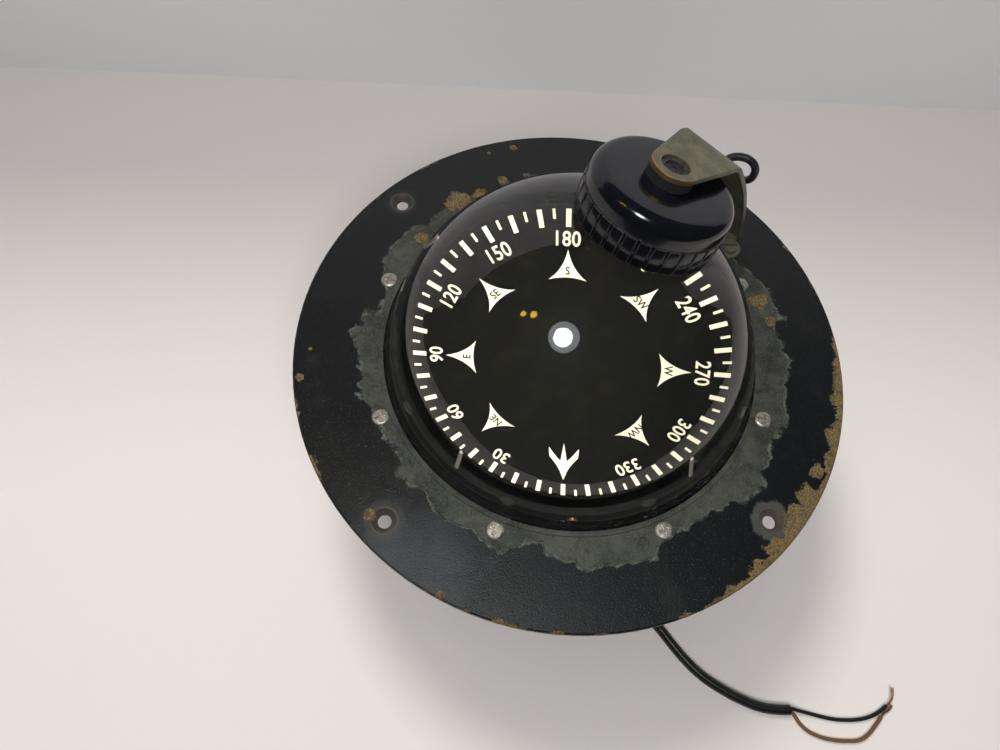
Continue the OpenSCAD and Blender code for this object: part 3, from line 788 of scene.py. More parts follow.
def only(obj: Optional[bpy.types.Object]) -> None:
    """Deselect everything, then select one object and make it active.

    Args:
        obj: The object, or None to leave nothing selected.
    """
    if bpy.context.object is not None and bpy.context.object.mode != "OBJECT":
        bpy.ops.object.mode_set(mode="OBJECT")
    bpy.ops.object.select_all(action="DESELECT")
    if obj is not None:
        bpy.context.view_layer.objects.active = obj
        obj.select_set(True)


def edit(obj: bpy.types.Object) -> None:
    """Open one object in edit mode with nothing selected."""
    only(obj)
    bpy.ops.object.mode_set(mode="EDIT")
    bpy.ops.mesh.select_mode(type="VERT")
    bpy.ops.mesh.select_all(action="DESELECT")


def pick(obj: bpy.types.Object, test: Any) -> int:
    """Select the vertices that a test takes, by their index and place, in edit mode.

    Args:
        obj: The object in edit mode.
        test: Called with a vertex's index and place.

    Returns:
        How many were taken.
    """
    bpy.ops.mesh.select_all(action="DESELECT")
    bpy.ops.object.mode_set(mode="OBJECT")
    taken = 0
    for vertex in obj.data.vertices:
        vertex.select = bool(test(vertex.index, vertex.co))
        taken += vertex.select
    bpy.ops.object.mode_set(mode="EDIT")
    return taken


def settle(obj: bpy.types.Object, name: str, place: Optional[Matrix] = None, sharp: float = 35.0) -> bpy.types.Object:
    """Put a made shape in its place in its mesh, name it and smooth it.

    Args:
        obj: The shape.
        name: Its name.
        place: Where it goes, on top of where it was made.
        sharp: Edges sharper than this, in degrees, stay sharp.

    Returns:
        The same object.
    """
    only(obj)
    bpy.ops.object.transform_apply(location=True, rotation=True, scale=True)
    if place is not None:
        obj.matrix_world = place
        bpy.ops.object.transform_apply(location=True, rotation=True, scale=True)
    obj.name = name
    obj.data.name = name
    bpy.ops.object.shade_smooth_by_angle(angle=math.radians(sharp))
    return obj


def trace(points: Sequence[Vector], closed: bool) -> bpy.types.Object:
    """Draw a chain of edges by extruding one corner from point to point.

    Args:
        points: The corners, in metres.
        closed: Whether the last is joined to the first.

    Returns:
        The object, left in edit mode with everything selected.
    """
    only(None)
    bpy.ops.mesh.primitive_plane_add(size=MM, location=points[0])
    obj = bpy.context.object
    bpy.ops.object.mode_set(mode="EDIT")
    bpy.ops.mesh.select_mode(type="VERT")
    bpy.ops.mesh.select_all(action="SELECT")
    bpy.ops.mesh.merge(type="CENTER")
    for here, there in zip(points, points[1:]):
        bpy.ops.mesh.extrude_vertices_move(TRANSFORM_OT_translate={"value": tuple(Vector(there) - Vector(here))})
    if closed:
        last = len(points) - 1
        pick(obj, lambda i, _: i in (0, last))
        bpy.ops.mesh.edge_face_add()
    bpy.ops.mesh.select_all(action="SELECT")
    return obj


def tidy_normals() -> None:
    """Merge doubled corners and turn the faces outwards, in edit mode."""
    bpy.ops.mesh.select_all(action="SELECT")
    bpy.ops.mesh.remove_doubles(threshold=0.000002)
    bpy.ops.mesh.normals_make_consistent(inside=False)


def lathe(
    name: str, profile: Sequence[tuple[float, float]], closed: bool, steps: int = 128,
    place: Optional[Matrix] = None, sharp: float = 35.0
) -> bpy.types.Object:
    """Turn a profile about the vertical axis.

    Args:
        name: The piece's name.
        profile: (radius, height) corners in millimetres.
        closed: Whether the profile is a loop; if not, it starts and ends on the axis.
        steps: Steps round.
        place: Where the piece goes.
        sharp: Edges sharper than this, in degrees, stay sharp.

    Returns:
        The turned piece.
    """
    obj = trace([Vector((r * MM, 0.0, z * MM)) for r, z in profile], closed)
    bpy.ops.mesh.spin(steps=steps, angle=math.tau, center=(0, 0, 0), axis=(0, 0, 1))
    tidy_normals()
    return settle(obj, name, place, sharp)


def plate(name: str, outline: Sequence[tuple[float, float]], base: float, thick: float) -> bpy.types.Object:
    """A thin flat piece from an outline.

    Args:
        name: The piece's name.
        outline: (x, y) corners in millimetres.
        base: Height of its underside in millimetres.
        thick: Thickness in millimetres.

    Returns:
        The piece.
    """
    obj = trace([Vector((x * MM, y * MM, base * MM)) for x, y in outline], True)
    bpy.ops.mesh.edge_face_add()
    bpy.ops.mesh.extrude_region_move(TRANSFORM_OT_translate={"value": (0, 0, thick * MM)})
    tidy_normals()
    return settle(obj, name, None, 30.0)


def add_modifier(obj: bpy.types.Object, kind: str, **settings: Any) -> None:
    """Add a modifier and apply it.

    Args:
        obj: The piece.
        kind: The modifier's type.
        **settings: Its properties.
    """
    only(obj)
    made = obj.modifiers.new(kind.title(), kind)
    for key, value in settings.items():
        setattr(made, key, value)
    bpy.ops.object.modifier_apply(modifier=made.name)


def joined(parts: Sequence[bpy.types.Object], name: str) -> bpy.types.Object:
    """Join several objects into the first.

    Args:
        parts: The objects.
        name: The name of the whole.

    Returns:
        The whole.
    """
    only(parts[0])
    for part in parts:
        part.select_set(True)
    bpy.context.view_layer.objects.active = parts[0]
    if len(parts) > 1:
        bpy.ops.object.join()
    parts[0].name = name
    parts[0].data.name = name
    return parts[0]


def copied(obj: bpy.types.Object) -> bpy.types.Object:
    """A copy of an object with its own mesh."""
    only(obj)
    bpy.ops.object.duplicate(linked=False)
    return bpy.context.object


def eased_copy(node: str, name: str, width: float, sharp: float = 35.0) -> bpy.types.Object:
    """A copy of a frame node with its corners eased and its curves smoothed.

    Args:
        node: The node.
        name: The copy's name.
        width: Width of the eased edge in millimetres.
        sharp: Edges sharper than this, in degrees, are eased.

    Returns:
        The copy, which stands for the node.
    """
    copy = copied(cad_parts[node])
    for key in list(copy.keys()):
        del copy[key]
    copy.parent = None
    edit(copy)
    bpy.ops.mesh.select_all(action="SELECT")
    bpy.ops.mesh.remove_doubles(threshold=0.000004)
    bpy.ops.mesh.select_all(action="SELECT")
    bpy.ops.mesh.dissolve_limited(angle_limit=math.radians(0.6))
    bpy.ops.mesh.select_all(action="SELECT")
    bpy.ops.mesh.quads_convert_to_tris(quad_method="BEAUTY", ngon_method="BEAUTY")
    only(copy)
    if width > 0:
        add_modifier(
            copy, "BEVEL", width=width * MM, segments=2, limit_method="ANGLE", angle_limit=math.radians(sharp),
            miter_outer="MITER_ARC"
        )
    settle(copy, name, None, 40.0)
    add_modifier(copy, "WEIGHTED_NORMAL", keep_sharp=True)
    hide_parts(node)
    return copy


def wear(
    obj: bpy.types.Object, finish: Finish, body: Optional[str] = None
) -> bpy.types.Object:
    """Give a piece its finish and the body that it rides on.

    Args:
        obj: The piece.
        finish: Its finish.
        body: The body, for a new piece.

    Returns:
        The same piece.
    """
    if obj.data.materials:
        for index in range(len(obj.data.materials)):
            obj.data.materials[index] = finish.material()
    else:
        obj.data.materials.append(finish.material())
    if body:
        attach(obj, body)
    return obj


def dress_nodes(looks: dict[str, Finish]) -> None:
    """Give frame nodes that stay in view their finishes.

    Args:
        looks: Finish by node name.
    """
    for node, finish in looks.items():
        wear(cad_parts[node], finish)
    log.info("dressed %s", ", ".join(looks))


def tube(name: str, runs: Sequence[Sequence[Sequence[float]]], diameter: float, sides: int = 4) -> bpy.types.Object:
    """A round curve through points, one spline to a run.

    Args:
        name: The piece's name.
        runs: Points in millimetres, for each run.
        diameter: In millimetres.
        sides: Bevel resolution.

    Returns:
        The curve.
    """
    data = bpy.data.curves.new(name, "CURVE")
    data.dimensions = "3D"
    data.bevel_depth = diameter / 2 * MM
    data.bevel_resolution = sides
    data.resolution_u = 8
    data.use_fill_caps = True
    for run in runs:
        line = data.splines.new("BEZIER")
        line.bezier_points.add(len(run) - 1)
        for point, place in zip(line.bezier_points, run):
            point.co = Vector(place) * MM
            point.handle_left_type = point.handle_right_type = "AUTO"
    obj = bpy.data.objects.new(name, data)
    bpy.context.scene.collection.objects.link(obj)
    return obj


def meshed(obj: bpy.types.Object) -> bpy.types.Object:
    """Turn a curve or text into a mesh."""
    only(obj)
    bpy.ops.object.convert(target="MESH")
    return bpy.context.object


# ---------------------------------------------------------------- the sub-assemblies


@dataclass
class Studio:
    """Camera, pale table, the sheet behind it and the soft light."""

    eye: tuple[float, float, float] = (-0.04221, -0.14422, 0.36346)
    across: tuple[float, float, float] = (0.99913, -0.00877, 0.04088)
    upward: tuple[float, float, float] = (-0.00941, 0.90547, 0.42430)
    behind: tuple[float, float, float] = (-0.04074, -0.42431, 0.90460)
    lens: float = 27.03
    wall_at: float = 0.232
    wall_slope: float = -0.026
    wall_height: float = 0.40

    def camera(self) -> None:
        """Set up the camera."""
        data = bpy.data.cameras.new("camera")
        data.lens = self.lens
        data.sensor_width = 36.0
        data.sensor_fit = "HORIZONTAL"
        data.clip_start = 0.01
        made = bpy.data.objects.new("camera", data)
        bpy.context.scene.collection.objects.link(made)
        turn = Matrix((self.across, self.upward, self.behind)).transposed()
        made.matrix_world = Matrix.Translation(self.eye) @ turn.to_4x4()
        bpy.context.scene.camera = made
        log.info("camera ready")

    def sheet(self, name: str, corners: Sequence[Sequence[float]], finish: Finish) -> bpy.types.Object:
        """A flat stage sheet through four corners.

        Args:
            name: Its name.
            corners: Places in metres.
            finish: Its finish.

        Returns:
            The sheet.
        """
        obj = trace([Vector(c) for c in corners], True)
        bpy.ops.mesh.edge_face_add()
        bpy.ops.object.mode_set(mode="OBJECT")
        if obj.data.polygons[0].normal.dot(Vector((0.0, -1.0, 1.0))) < 0:
            edit(obj)
            bpy.ops.mesh.select_all(action="SELECT")
            bpy.ops.mesh.flip_normals()
            bpy.ops.object.mode_set(mode="OBJECT")
        settle(obj, name)
        return wear(obj, finish)

    def stage(self) -> None:
        """Lay the table and stand the sheet behind it."""
        self.sheet(
            "table", [(-0.7, -0.42, 0), (0.7, -0.42, 0), (0.7, 0.7, 0), (-0.7, 0.7, 0)],
            StudioPaper("table_paper", tone=(0.8, 0.765, 0.735))
        )
        left, right = -0.7, 0.7
        foot = [(left, self.wall_at + self.wall_slope * left, 0), (right, self.wall_at + self.wall_slope * right, 0)]
        top = [(x, y, self.wall_height) for x, y, _ in reversed(foot)]
        self.sheet("back_sheet", [*foot, *top], StudioPaper("back_paper", tone=(0.88, 0.875, 0.885), one_sided=True))
        log.info("stage ready")

    def lamp(
        self, name: str, place: Sequence[float], aim: Sequence[float], size: float, watts: float,
        tone: Colour = (1, 1, 1), shines: bool = True
    ) -> None:
        """A round soft lamp.

        Args:
            name: Its name.
            place: Where it is, in metres.
            aim: The point that it faces.
            size: Its diameter in metres.
            watts: Its power.
            tone: Its colour.
            shines: Whether it shows in gloss alone, or lights everything else.
        """
        data = bpy.data.lights.new(name, "AREA")
        data.shape = "DISK"
        data.size = size
        data.energy = watts
        data.color = tone
        made = bpy.data.objects.new(name, data)
        bpy.context.scene.collection.objects.link(made)
        made.location = place
        made.rotation_euler = (Vector(aim) - Vector(place)).to_track_quat("-Z", "Y").to_euler()
        made.visible_glossy = shines
        made.visible_diffuse = not shines
        made.visible_camera = False

    def lights(self) -> None:
        """Place the lamps and the dim room."""
        bpy.context.scene.view_settings.view_transform = "Standard"
        world = bpy.data.worlds.new("room")
        world.use_nodes = True
        world.node_tree.nodes["Background"].inputs["Color"].default_value = (0.92, 0.96, 1.0, 1.0)
        world.node_tree.nodes["Background"].inputs["Strength"].default_value = 0.045
        bpy.context.scene.world = world
        self.lamp("key", (-0.3, 0.6, 1.25), (0, 0.1, 0.05), 0.42, 9.6, (1.0, 0.955, 0.91), False)
        self.lamp("fill", (-0.35, 0.3, 1.6), (0, 0.1, 0.05), 1.3, 4.4, (1.0, 0.98, 0.965), False)
        self.lamp("front_wash", (0.0, -0.5, 0.9), (0, 0.24, 0.26), 0.5, 5.6, (1.0, 0.98, 0.985), False)
        spot = Vector((-0.0116, -0.0286, 0.146))
        for name, azimuth, height, size, watts, tone in (
            ("round_lamp", -123.0, 71.0, 0.12, 1.3, (1.0, 1.0, 1.0)),
            ("round_lamp_rim", -122.0, 71.5, 0.2, 0.4, (0.86, 0.93, 1.0)),
            ("amber_lamp", 179.5, 63.2, 0.044, 0.07, (1.0, 0.62, 0.03)),
            ("amber_lamp_two", 176.5, 57.0, 0.036, 0.045, (1.0, 0.6, 0.03)),
        ):
            a, h = math.radians(azimuth), math.radians(height)
            way = Vector((math.cos(h) * math.cos(a), math.cos(h) * math.sin(a), math.sin(h)))
            self.lamp(name, spot + way * 0.6, spot, size, watts, tone)
        log.info("lights ready")


@dataclass
class Cabling:
    """The cable from the gland along the table, its bare cores, and the lamp's own lead."""

    jacket: float = 4.5
    core: float = 1.7
    lead: float = 3.0
    strand: float = 0.34
    jacket_run: tuple = (
        (32.6, -80.7, 46), (32.8, -81, 40), (33.2, -82, 32), (34, -84, 24), (35.6, -87.5, 16), (38, -92, 9),
        (41, -96.5, 4.2), (
            44.2, -100.5, 2.4
        ), (47.5, -104.5, 2.3), (51.5, -110, 2.3), (57, -117, 2.3), (64, -124, 2.3),
        (72, -129.5, 2.3), (80.5, -134, 2.3), (89, -137.2, 2.3), (96, -138.3, 2.3), (102, -138.5, 2.3),
    )
    black_run: tuple = (
        (102.1, -138, 3.1), (
            103.2, -138.1, 2.9
        ), (105.4, -138.7, 2.3), (109, -139.5, 1.5), (115, -141, 1), (121, -142.3, 1),
        (127, -142.8, 1), (133, -142.6, 1), (138.5, -141.5, 1), (143, -139.6, 1), (147, -137, 1.2),
    )
    brown_run: tuple = (
        (102.1, -139.1, 1.45), (102.9, -139.3, 1.4), (104.2, -140.8, 1.15), (105.8, -143.6, 1), (108.6, -146.6, 1),
        (113, -149, 1), (119, -150.6, 1), (126, -151.2, 1), (132, -150.8, 1), (136.5, -148.4, 1), (140.3, -145, 1),
        (143.5, -141.8, 1),
    )
    black_ends: tuple = ((147.13, -136.9, 1.21), (149, -135.2, 1.5), (150.4, -132.6, 1.8), (151, -129.6, 2))
    brown_ends: tuple = ((143.58, -141.72, 1), (145.6, -139.9, 1.1), (147.8, -138.6, 1), (149.6, -136.8, 1))
    lead_loop: tuple = (
        (42.2, 0, 164), (46, 0, 162.6), (50.8, 0, 161), (54.8, 0, 159.3), (57, -0.1, 157.9), (59, -0.3, 155.4),
        (60.2, -0.6, 152.6), (61.4, -1, 149.8), (63.6, -1.5, 147.4), (66.2, -1.9, 146.6), (68.84, -2, 147.5),
        (71.2, -3, 149), (73.6, -5.6, 149.8), (75.6, -8.8, 149), (76.6, -11.2, 146.6), (76.8, -12, 143.2),
        (77.2, -11.4, 140), (78.6, -9.4, 136.2), (81, -6.8, 131), (83.9, -4.2, 125.2), (87.2, -1.2, 118),
        (90.8, 2, 110.4), (94.2, 6, 101.8), (97.6, 10.4, 93.6), (100.4, 14, 88), (101.5, 15.8, 85.6), (
            101.72, 16.11, 84.4
        ),
    )
    lead_under: tuple = (
        (52, 103, 80.7), (
            51.7, 102.4, 79.7
        ), (50.6, 101, 79.2), (48, 97.8, 79.2), (43.5, 94.6, 79.2), (37, 92.4, 79.2),
        (28, 91.7, 79.2), (19, 91.7, 79.2), (10, 91.7, 79.2), (1, 91.7, 79.2), (-8, 91.7, 79.2), (-17, 91.7, 79.2),
        (-26, 91.7, 79.2), (-35, 91.7, 79.2), (-44, 91.7, 79.2), (-53, 91.7, 79.2), (-59, 91.7, 78.9), (
            -63.5, 91.8, 77.4
        ),
        (
            -66.3, 91.8, 74.6
        ), (-67.4, 91.2, 72), (-67.9, 89.6, 69.6), (-68, 87.9, 68.1), (-68, 87.1, 67), (-68, 87, 66),
    )

    def cords(self) -> None:
        """Lay the jacketed cable and its two cores, each with a frayed end."""
        jacket = tube("cable_jacket", [self.jacket_run], self.jacket, 6)
        wear(jacket, JACKET, "casing")
        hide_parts("cord_jacket")
        for side, run, ends, finish, slot, node in (
            ("black", self.black_run, self.black_ends, CORE_BLACK, "cable_black", "core_black"),
            ("brown", self.brown_run, self.brown_ends, CORE_BROWN, "cable_brown", "core_brown"),
        ):
            core = tube(f"{side}_core", [run], self.core, 4)
            wear(core, finish, "casing")
            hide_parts(node)
            frayed = self.frayed(f"{side}_core_strands", ends)
        log.info("cable, cores and strands laid")

    def frayed(self, name: str, ends: Sequence[Sequence[float]]) -> bpy.types.Object:
        """A small bundle of wires that spreads towards its tip.

        Args:
            name: The piece's name.
            ends: The middle line of the bundle in millimetres.

        Returns:
            The bundle as one mesh.
        """
        dice = random.Random(name)
        wires = []
        for count in range(7):
            turn = math.tau * count / 7 + dice.uniform(-0.3, 0.3)
            share = 0.25 + 0.75 * (count % 3) / 2
            wire = []
            for step, point in enumerate(ends):
                spread = (0.28, 0.3, 0.38, 0.5)[step] * share
                wire.append((
                    point[0] + spread * math.cos(turn + step * 0.5) - (0.2 if step == 3 else 0.0),
                    point[1] + spread * math.sin(turn + step * 0.5) + dice.uniform(-0.2, 0.1) * step / 3,
                    max(0.25, point[2] + spread * math.sin(turn * 1.7)),
                ))
            wires.append(wire)
        obj = meshed(tube(name, wires, self.strand, 2))
        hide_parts("core_strands")
        return wear(settle(obj, name), COPPER, "casing")

    def held_lead(self) -> None:
        """Run the lamp's lead from the strap, through the flange and round to the gland."""
        turn = Matrix.Rotation(HOOD_TURN, 3, "Z")
        run = [turn @ Vector(p) for p in self.lead_loop]
        run += [
            Vector((r * math.cos(math.radians(a)), r * math.sin(math.radians(a)), z)) for a, r, z in self.lead_under
        ]
        lead = tube("hood_lead", [run], self.lead, 5)
        lead = meshed(lead)
        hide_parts("lamp_lead")
        wear(settle(lead, "hood_lead", sharp=50.0), LEAD_SKIN, "casing")
        dress_nodes({"cord_gland": RUBBER, "gland_screws": PLATED})


@dataclass
class Flange:
    """The mounting flange with its cover screws and panel holes."""

    ease: float = 0.35

    def build(self) -> None:
        """Ease the flange's edges and the screws, and finish them."""
        wear(eased_copy("mounting_flange", "flange_plate", self.ease), LACQUER, "casing")
        wear(eased_copy("flange_screws", "cross_head_screws", 0.12), PLATED, "casing")
        log.info("flange built")


@dataclass
class Dome:
    """The clear dome over the liquid, its gasket and the hand-wiped sealant."""

    centre: float = 76.0
    outer: float = 76.5
    inner: float = 73.0
    rim: float = 80.3
    rim_low: float = 76.8
    rim_high: float = 80.8
    bead_top: float = 89.2

    def build(self) -> None:
        """Build the dome and its sealant."""
        self.shell()
        self.bead()
        dress_nodes({"dome_gasket": SEALANT})

    def arc(self, radius: float, low: float, count: int) -> list[tuple[float, float]]:
        """Points down a sphere from its top.

        Args:
            radius: The sphere's radius.
            low: The height where it stops.
            count: Steps.

        Returns:
            (radius, height) pairs.
        """
        end = math.acos((low - self.centre) / radius)
        return [(radius * math.sin(end * i / count), self.centre + radius * math.cos(end * i / count)) for i in range(count + 1)]

    def beside(self, z: float, gap: float) -> float:
        """Radius just outside the dome at a height, in millimetres.

        Args:
            z: The height.
            gap: How far outside.

        Returns:
            The radius.
        """
        return math.sqrt((self.outer + gap) ** 2 - (z - self.centre) ** 2)

    def shell(self) -> None:
        """Turn the dome: outside, rim and inside, with one finish to each side."""
        outside = self.arc(self.outer, self.rim_high, 44)
        inside = self.arc(self.inner, self.rim_low, 44)[::-1]
        obj = lathe(
            "dome_shell", [*outside, (self.rim, self.rim_high), (self.rim, self.rim_low), *inside], False, 160,
            None, 50.0
        )
        obj.data.materials.append(DOME_OUT.material())
        obj.data.materials.append(DOME_IN.material())
        middle = Vector((0, 0, self.centre * MM))
        for face in obj.data.polygons:
            within = (
                face.center - middle
            ).length < (self.inner + 0.4) * MM and face.center.z > (self.rim_low + 0.05) * MM
            face.material_index = int(within)
        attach(obj, "casing")
        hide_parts("dome")
        log.info("dome turned")

    def bead(self) -> None:
        """Turn the sealant and make it uneven."""
        against = [(self.beside(z, 0.01), z) for z in (80.85, 82.0, 83.2, 84.4, 85.5, 86.6, 87.8, self.bead_top)]
        film = [(self.beside(z, 0.3), z) for z in (89.1, 88.5, 87.9, 87.3)]
        outside = [
            *film, (76.15, 86.75), (76.6, 86.3), (77.0, 85.75), (77.5, 85.0), (77.85, 84.2), (77.92, 83.0),
            (77.92, 81.0)
        ]
        obj = lathe("sealant_ring", [*against, *outside], True, 300, None, 60.0)
        lumps = bpy.data.textures.new("sealant_lumps", "CLOUDS")
        lumps.noise_scale = 0.0035
        lumps.noise_depth = 3
        edit(obj)
        pick(obj, lambda _, at: at.z > 84.1 * MM and math.hypot(at.x, at.y) > 75.85 * MM)
        bpy.ops.object.mode_set(mode="OBJECT")
        group = obj.vertex_groups.new(name="uneven")
        group.add([v.index for v in obj.data.vertices if v.select], 1.0, "REPLACE")
        add_modifier(
            obj, "DISPLACE", texture=lumps, strength=0.0009, mid_level=0.55, texture_coords="LOCAL",
            vertex_group="uneven"
        )
        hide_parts("sealant_bead")
        wear(settle(obj, "sealant_ring", sharp=60.0), SEALANT, "casing")
        log.info("sealant wiped on")


@dataclass
class Bowl:
    """The bowl, its diaphragm and filler, and the compensator under it."""

    def build(self) -> None:
        """Finish every casing node that keeps its shape."""
        dress_nodes({
            "bowl": BOWL_PAINT, "bowl_rim": BOWL_PAINT, "filler_plug": BRASS, "filler_washer": FIBRE,
            "diaphragm": RUBBER, "diaphragm_cover": COVER_BRASS, "cover_screws": PLATED,
            "compensator_housing": COVER_BRASS, "gimbal_pivot_screws": BRASS,
            "ns_adjuster_rod": BRASS, "ew_adjuster_rod": BRASS, "ns_magnets": MAGNET, "ew_magnets": MAGNET,
        })


@dataclass
class Gimbals:
    """The two gimbal rings with the pivot post and the lubber pins."""

    def build(self) -> None:
        """Finish the gimballed nodes."""
        dress_nodes({
            "outer_gimbal_ring": GIMBAL_PAINT, "inner_gimbal_ring": GIMBAL_PAINT, "cradle_arms": GIMBAL_PAINT,
            "inner_pivot_pins": BRASS, "counterweight": LEAD_WEIGHT, "pivot_post": BRASS, "pivot_point": PIVOT,
            "lubber_pins": PIN,
        })


class Point(Enum):
    """The lettered compass points and their headings."""

    NE = 45
    E = 90
    SE = 135
    S = 180
    SW = 225
    W = 270
    NW = 315


@dataclass
class Card:
    """The floating card and its printed marks."""

    top: float = 71.0
    north: float = -93.86
    outer: float = 46.0
    long_in: float = 41.6
    short_in: float = 43.6
    numeral_at: float = 38.5
    numeral_high: float = 4.15
    letter_at: float = 29.35
    letter_high: float = 2.35
    film: float = 0.04

    def build(self) -> None:
        """Print the card."""
        dress_nodes({
            "card_disc": CARD_FIELD, "card_float": FLOAT_SKIN, "jewel_cup": BRASS, "pivot_jewel": JEWEL, "card_magnets": MAGNET,
        })
        self.ticks()
        self.words(
            "card_numerals", {h: str(h) for h in range(30, 360, 30)}, self.numeral_at, self.numeral_high, IVORY,
            self.top + 0.004, 0.016
        )
        self.darts()
        self.words(
            "card_letters", {p.value: p.name for p in Point}, self.letter_at, self.letter_high, BLACK_INK,
            self.top + self.film + 0.008, 0.018
        )
        self.north_mark()

    def turn(self, heading: float) -> Matrix:
        """The turn that takes a mark drawn towards +Y to its heading.

        Args:
            heading: Degrees, clockwise from north.

        Returns:
            The turn about the card's axis.
        """
        return Matrix.Rotation(math.radians(self.north - heading - 90.0), 4, "Z")

    def spread(self, first: bpy.types.Object, headings: Iterable[float], name: str) -> bpy.types.Object:
        """Copy one mark round the card and join the copies.

        Args:
            first: The mark, drawn towards +Y.
            headings: Where it goes.
            name: The name of the whole.

        Returns:
            The whole.
        """
        parts = []
        for heading in headings:
            part = copied(first)
            part.matrix_world = self.turn(heading)
            only(part)
            bpy.ops.object.transform_apply(location=True, rotation=True, scale=True)
            parts.append(part)
        bpy.data.objects.remove(first)
        return joined(parts, name)

    def bar(self, inner: float, width: float) -> bpy.types.Object:
        """One printed bar, drawn towards +Y."""
        half = width / 2
        outline = [(-half, inner), (half, inner), (half, self.outer), (-half, self.outer)]
        return plate("bar", outline, self.top + 0.004, self.film)

    def ticks(self) -> None:
        """Long and short bars round the rim."""
        long_bars = self.spread(self.bar(self.long_in, 1.42), range(0, 360, 10), "card_long_bars")
        short_bars = self.spread(self.bar(self.short_in, 0.78), range(5, 360, 10), "card_short_bars")
        for obj in (long_bars, short_bars):
            wear(obj, IVORY, "card")

    def words(
        self, name: str, texts: dict[int, str], radius: float, high: float, finish: Finish, base: float,
        weight: float
    ) -> None:
        """Numbers or letters with their tops outwards.

        Args:
            name: The name of the whole.
            texts: Text by heading.
            radius: Where their middles are, in millimetres.
            high: Their height in millimetres.
            finish: Their finish.
            base: Height of their underside in millimetres.
            weight: How much the strokes are thickened.
        """
        parts = []
        for heading, text in texts.items():
            only(None)
            bpy.ops.object.text_add(location=(0, 0, 0))
            obj = bpy.context.object
            obj.data.body = text
            obj.data.size = 1.0
            obj.data.offset = weight
            obj.data.space_character = 1.04
            obj = meshed(obj)
            xs = [v.co.x for v in obj.data.vertices]
            ys = [v.co.y for v in obj.data.vertices]
            scale = high / (max(ys) - min(ys)) * MM
            middle = Vector(((max(xs) + min(xs)) / 2, (max(ys) + min(ys)) / 2, 0))
            obj.matrix_world = (
                self.turn(heading)
                @ Matrix.Translation((0, radius * MM, base * MM))
                @ Matrix.Diagonal((scale * 0.9, scale, 1.0, 1.0))
                @ Matrix.Translation(-middle)
            )
            only(obj)
            bpy.ops.object.transform_apply(location=True, rotation=True, scale=True)
            bpy.ops.object.mode_set(mode="EDIT")
            bpy.ops.mesh.select_all(action="SELECT")
            bpy.ops.mesh.remove_doubles(threshold=0.0000005)
            bpy.ops.mesh.select_all(action="SELECT")
            bpy.ops.mesh.extrude_region_move(TRANSFORM_OT_translate={"value": (0, 0, self.film * MM * 0.8)})
            bpy.ops.mesh.select_all(action="SELECT")
            bpy.ops.mesh.normals_make_consistent(inside=False)
            bpy.ops.object.mode_set(mode="OBJECT")
            parts.append(obj)
        whole = joined(parts, name)
        wear(settle(whole, name, None, 30.0), finish, "card")
        log.info("%s printed", name)

    def darts(self) -> None:
        """The seven pointed panels behind the letters."""
        tip, corner, base = Vector((0.0, 35.6)), Vector((5.4, 26.5)), 27.4
        side = []
        for i in range(11):
            t = i / 10
            pull = Vector((1.15, 29.7))
            side.append((corner * (1 - t) ** 2 + pull * 2 * t * (1 - t) + tip * t * t))
        right = [(p.x, p.y) for p in side]
        left = [(-x, y) for x, y in reversed(right[:-1])]
        bottom = [(-corner.x + (corner.x * 2) * i / 6, base - (base - corner.y) * ((i - 3) / 3) ** 2) for i in range(1, 6)]
        dart = plate("dart", [*right, *left, *bottom], self.top + 0.004, self.film)
        wear(self.spread(dart, [p.value for p in Point], "card_darts"), IVORY, "card")

    def north_mark(self) -> None:
        """The winged arrow at north."""
        right = [
            (0.0, 26.8), (0.42, 29.4), (0.8, 31.9), (0.95, 33.1), (2.2, 31.7), (3.5, 29.9), (4.5, 28.4),
            (4.45, 30.0), (4.3, 31.6), (3.1, 33.2), (1.9, 35.0), (1.05, 36.8), (0.6, 38.2), (0.0, 39.95),
        ]
        outline = right + [(-x, y) for x, y in reversed(right[1:-1])]
        arrow = plate("arrow", outline, self.top + 0.004, self.film)
        wear(self.spread(arrow, [0], "north_mark"), IVORY, "card")
        log.info("card marks printed")


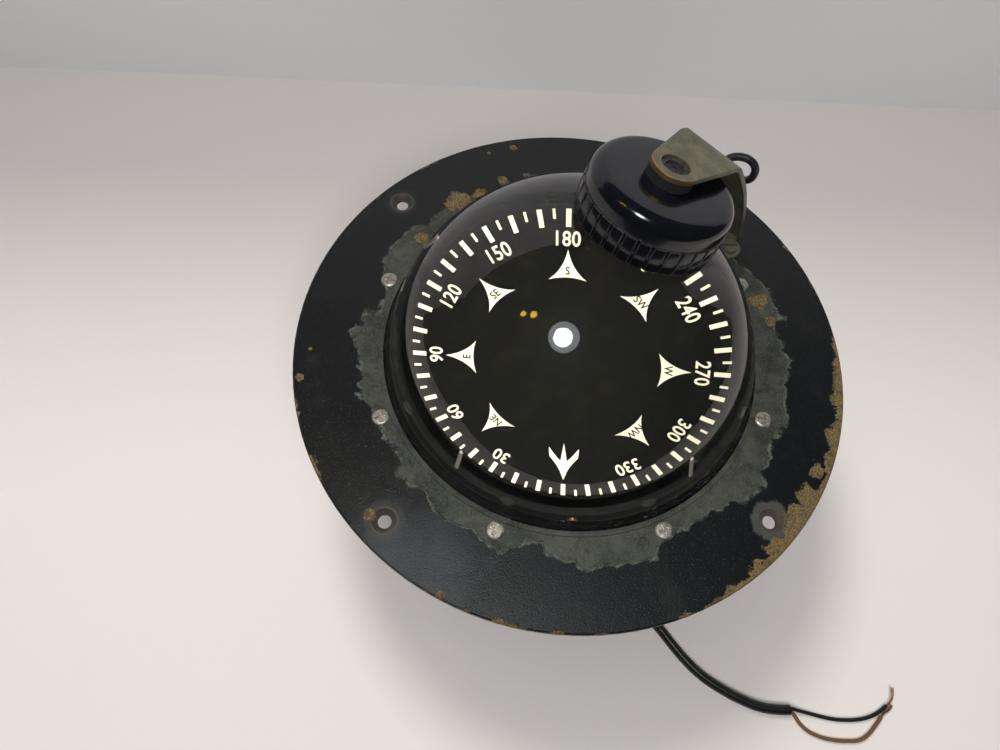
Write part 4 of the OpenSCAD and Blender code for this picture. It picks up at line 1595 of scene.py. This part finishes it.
@dataclass
class LampHood:
    """The lamp hood: body, ribbed ring, filter, socket and bulb, in the hood's own axes."""

    wide: float = 26.35
    shoulder: float = 5.2
    roof: float = 19.4
    skirt: float = 10.1
    ring_wide: float = 26.9
    ribs: int = 32
    groove: float = 0.6

    def build(self) -> None:
        """Build the hood."""
        self.body()
        self.ring()
        dress_nodes({
            "hood_spacer": RUBBER, "hood_filter": RED_GLASS, "filter_gasket": RUBBER, "lamp_socket": DUSTY_SOCKET,
            "lamp_insulator": INSULATOR, "lamp_contact": DUSTY_SOCKET, "bulb_base": BRASS, "bulb_glass": BULB,
        })

    def body(self) -> None:
        """Turn the hood's body with its full round shoulder."""
        rise = 19.25 - self.shoulder
        round_over = []
        for i in range(15):
            t = math.radians(84.0 * i / 14)
            round_over.append(
                (self.wide - self.shoulder + self.shoulder * math.cos(t), rise + self.shoulder * math.sin(t))
            )
        profile = [
            (5.02, self.roof), (8.5, self.roof), (12.0, 19.37), (16.0, 19.3), *reversed(round_over),
            (
                self.wide, self.skirt + 0.3
            ), (self.wide - 0.3, self.skirt), (24.15, self.skirt), (24.15, 5.5), (22.0, 5.5), (22.0, 17.0), (5.02, 17.0),
        ]
        obj = lathe("hood_shell", profile, True, 160, HOOD_PLACE, 38.0)
        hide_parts("hood_body")
        wear(obj, HOOD_GLOSS, "casing")
        log.info("hood body turned")

    def ring(self) -> None:
        """Raise the ribbed ring from a scalloped circle."""
        only(None)
        per = 10
        bpy.ops.mesh.primitive_circle_add(
            vertices=self.ribs * per, radius=self.ring_wide * MM, fill_type="NOTHING", location=(0, 0, 0)
        )
        obj = bpy.context.object
        edit(obj)
        pick(obj, lambda i, _: i % per in (0, 1))
        ratio = (self.ring_wide - self.groove) / self.ring_wide
        bpy.ops.transform.resize(value=(ratio, ratio, 1.0), center_override=(0, 0, 0))
        bpy.ops.mesh.select_all(action="SELECT")
        for radius, height in ((26.9, 9.9), (26.2, 9.95), (24.4, 9.95), (24.4, 2.4), (22.7, 2.4), (22.7, 0.0)):
            self.rise(obj, radius, height)
        pick(obj, lambda _, at: at.z < 0.0001 * MM)
        bpy.ops.mesh.select_mode(type="EDGE")
        bpy.ops.mesh.bridge_edge_loops()
        bpy.ops.mesh.select_mode(type="VERT")
        tidy_normals()
        only(obj)
        add_modifier(obj, "BEVEL", width=0.1 * MM, segments=2, limit_method="ANGLE", angle_limit=math.radians(32))
        settle(obj, "ribbed_ring", HOOD_PLACE, 40.0)
        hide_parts("hood_ring")
        wear(obj, RING_GLOSS, "ring")
        log.info("ribbed ring raised")

    def rise(self, obj: bpy.types.Object, radius: float, height: float) -> None:
        """Extrude the open loop to a new radius and height.

        Args:
            obj: The ring in edit mode, its open loop selected.
            radius: The loop's new outer radius in millimetres.
            height: Its new height in millimetres.
        """
        bpy.ops.mesh.extrude_edges_move()
        bpy.ops.object.mode_set(mode="OBJECT")
        chosen = [v.co for v in obj.data.vertices if v.select]
        widest = max(math.hypot(c.x, c.y) for c in chosen)
        level = chosen[0].z
        bpy.ops.object.mode_set(mode="EDIT")
        ratio = radius * MM / widest
        bpy.ops.transform.resize(value=(ratio, ratio, 1.0), center_override=(0, 0, 0))
        bpy.ops.transform.translate(value=(0, 0, height * MM - level))


@dataclass
class Strap:
    """The bronze strap that carries the hood, and its screws."""

    def build(self) -> None:
        """Ease the strap's edges and finish it with its screws."""
        wear(eased_copy("hood_strap", "hood_carrier", 0.3), PATINA, "casing")
        wear(eased_copy("strap_screws", "slotted_screws", 0.15), OLIVE_SCREW, "casing")
        dress_nodes({"lead_grommet": OLIVE_SCREW})
        log.info("strap built")


def main() -> None:
    """Build the whole compass: camera and cords first, and then piece by piece."""
    studio = Studio()
    studio.camera()
    cabling = Cabling()
    cabling.cords()
    studio.stage()
    studio.lights()
    Flange().build()
    Dome().build()
    Bowl().build()
    Gimbals().build()
    Card().build()
    LampHood().build()
    Strap().build()
    cabling.held_lead()


if __name__ == "__main__":
    main()
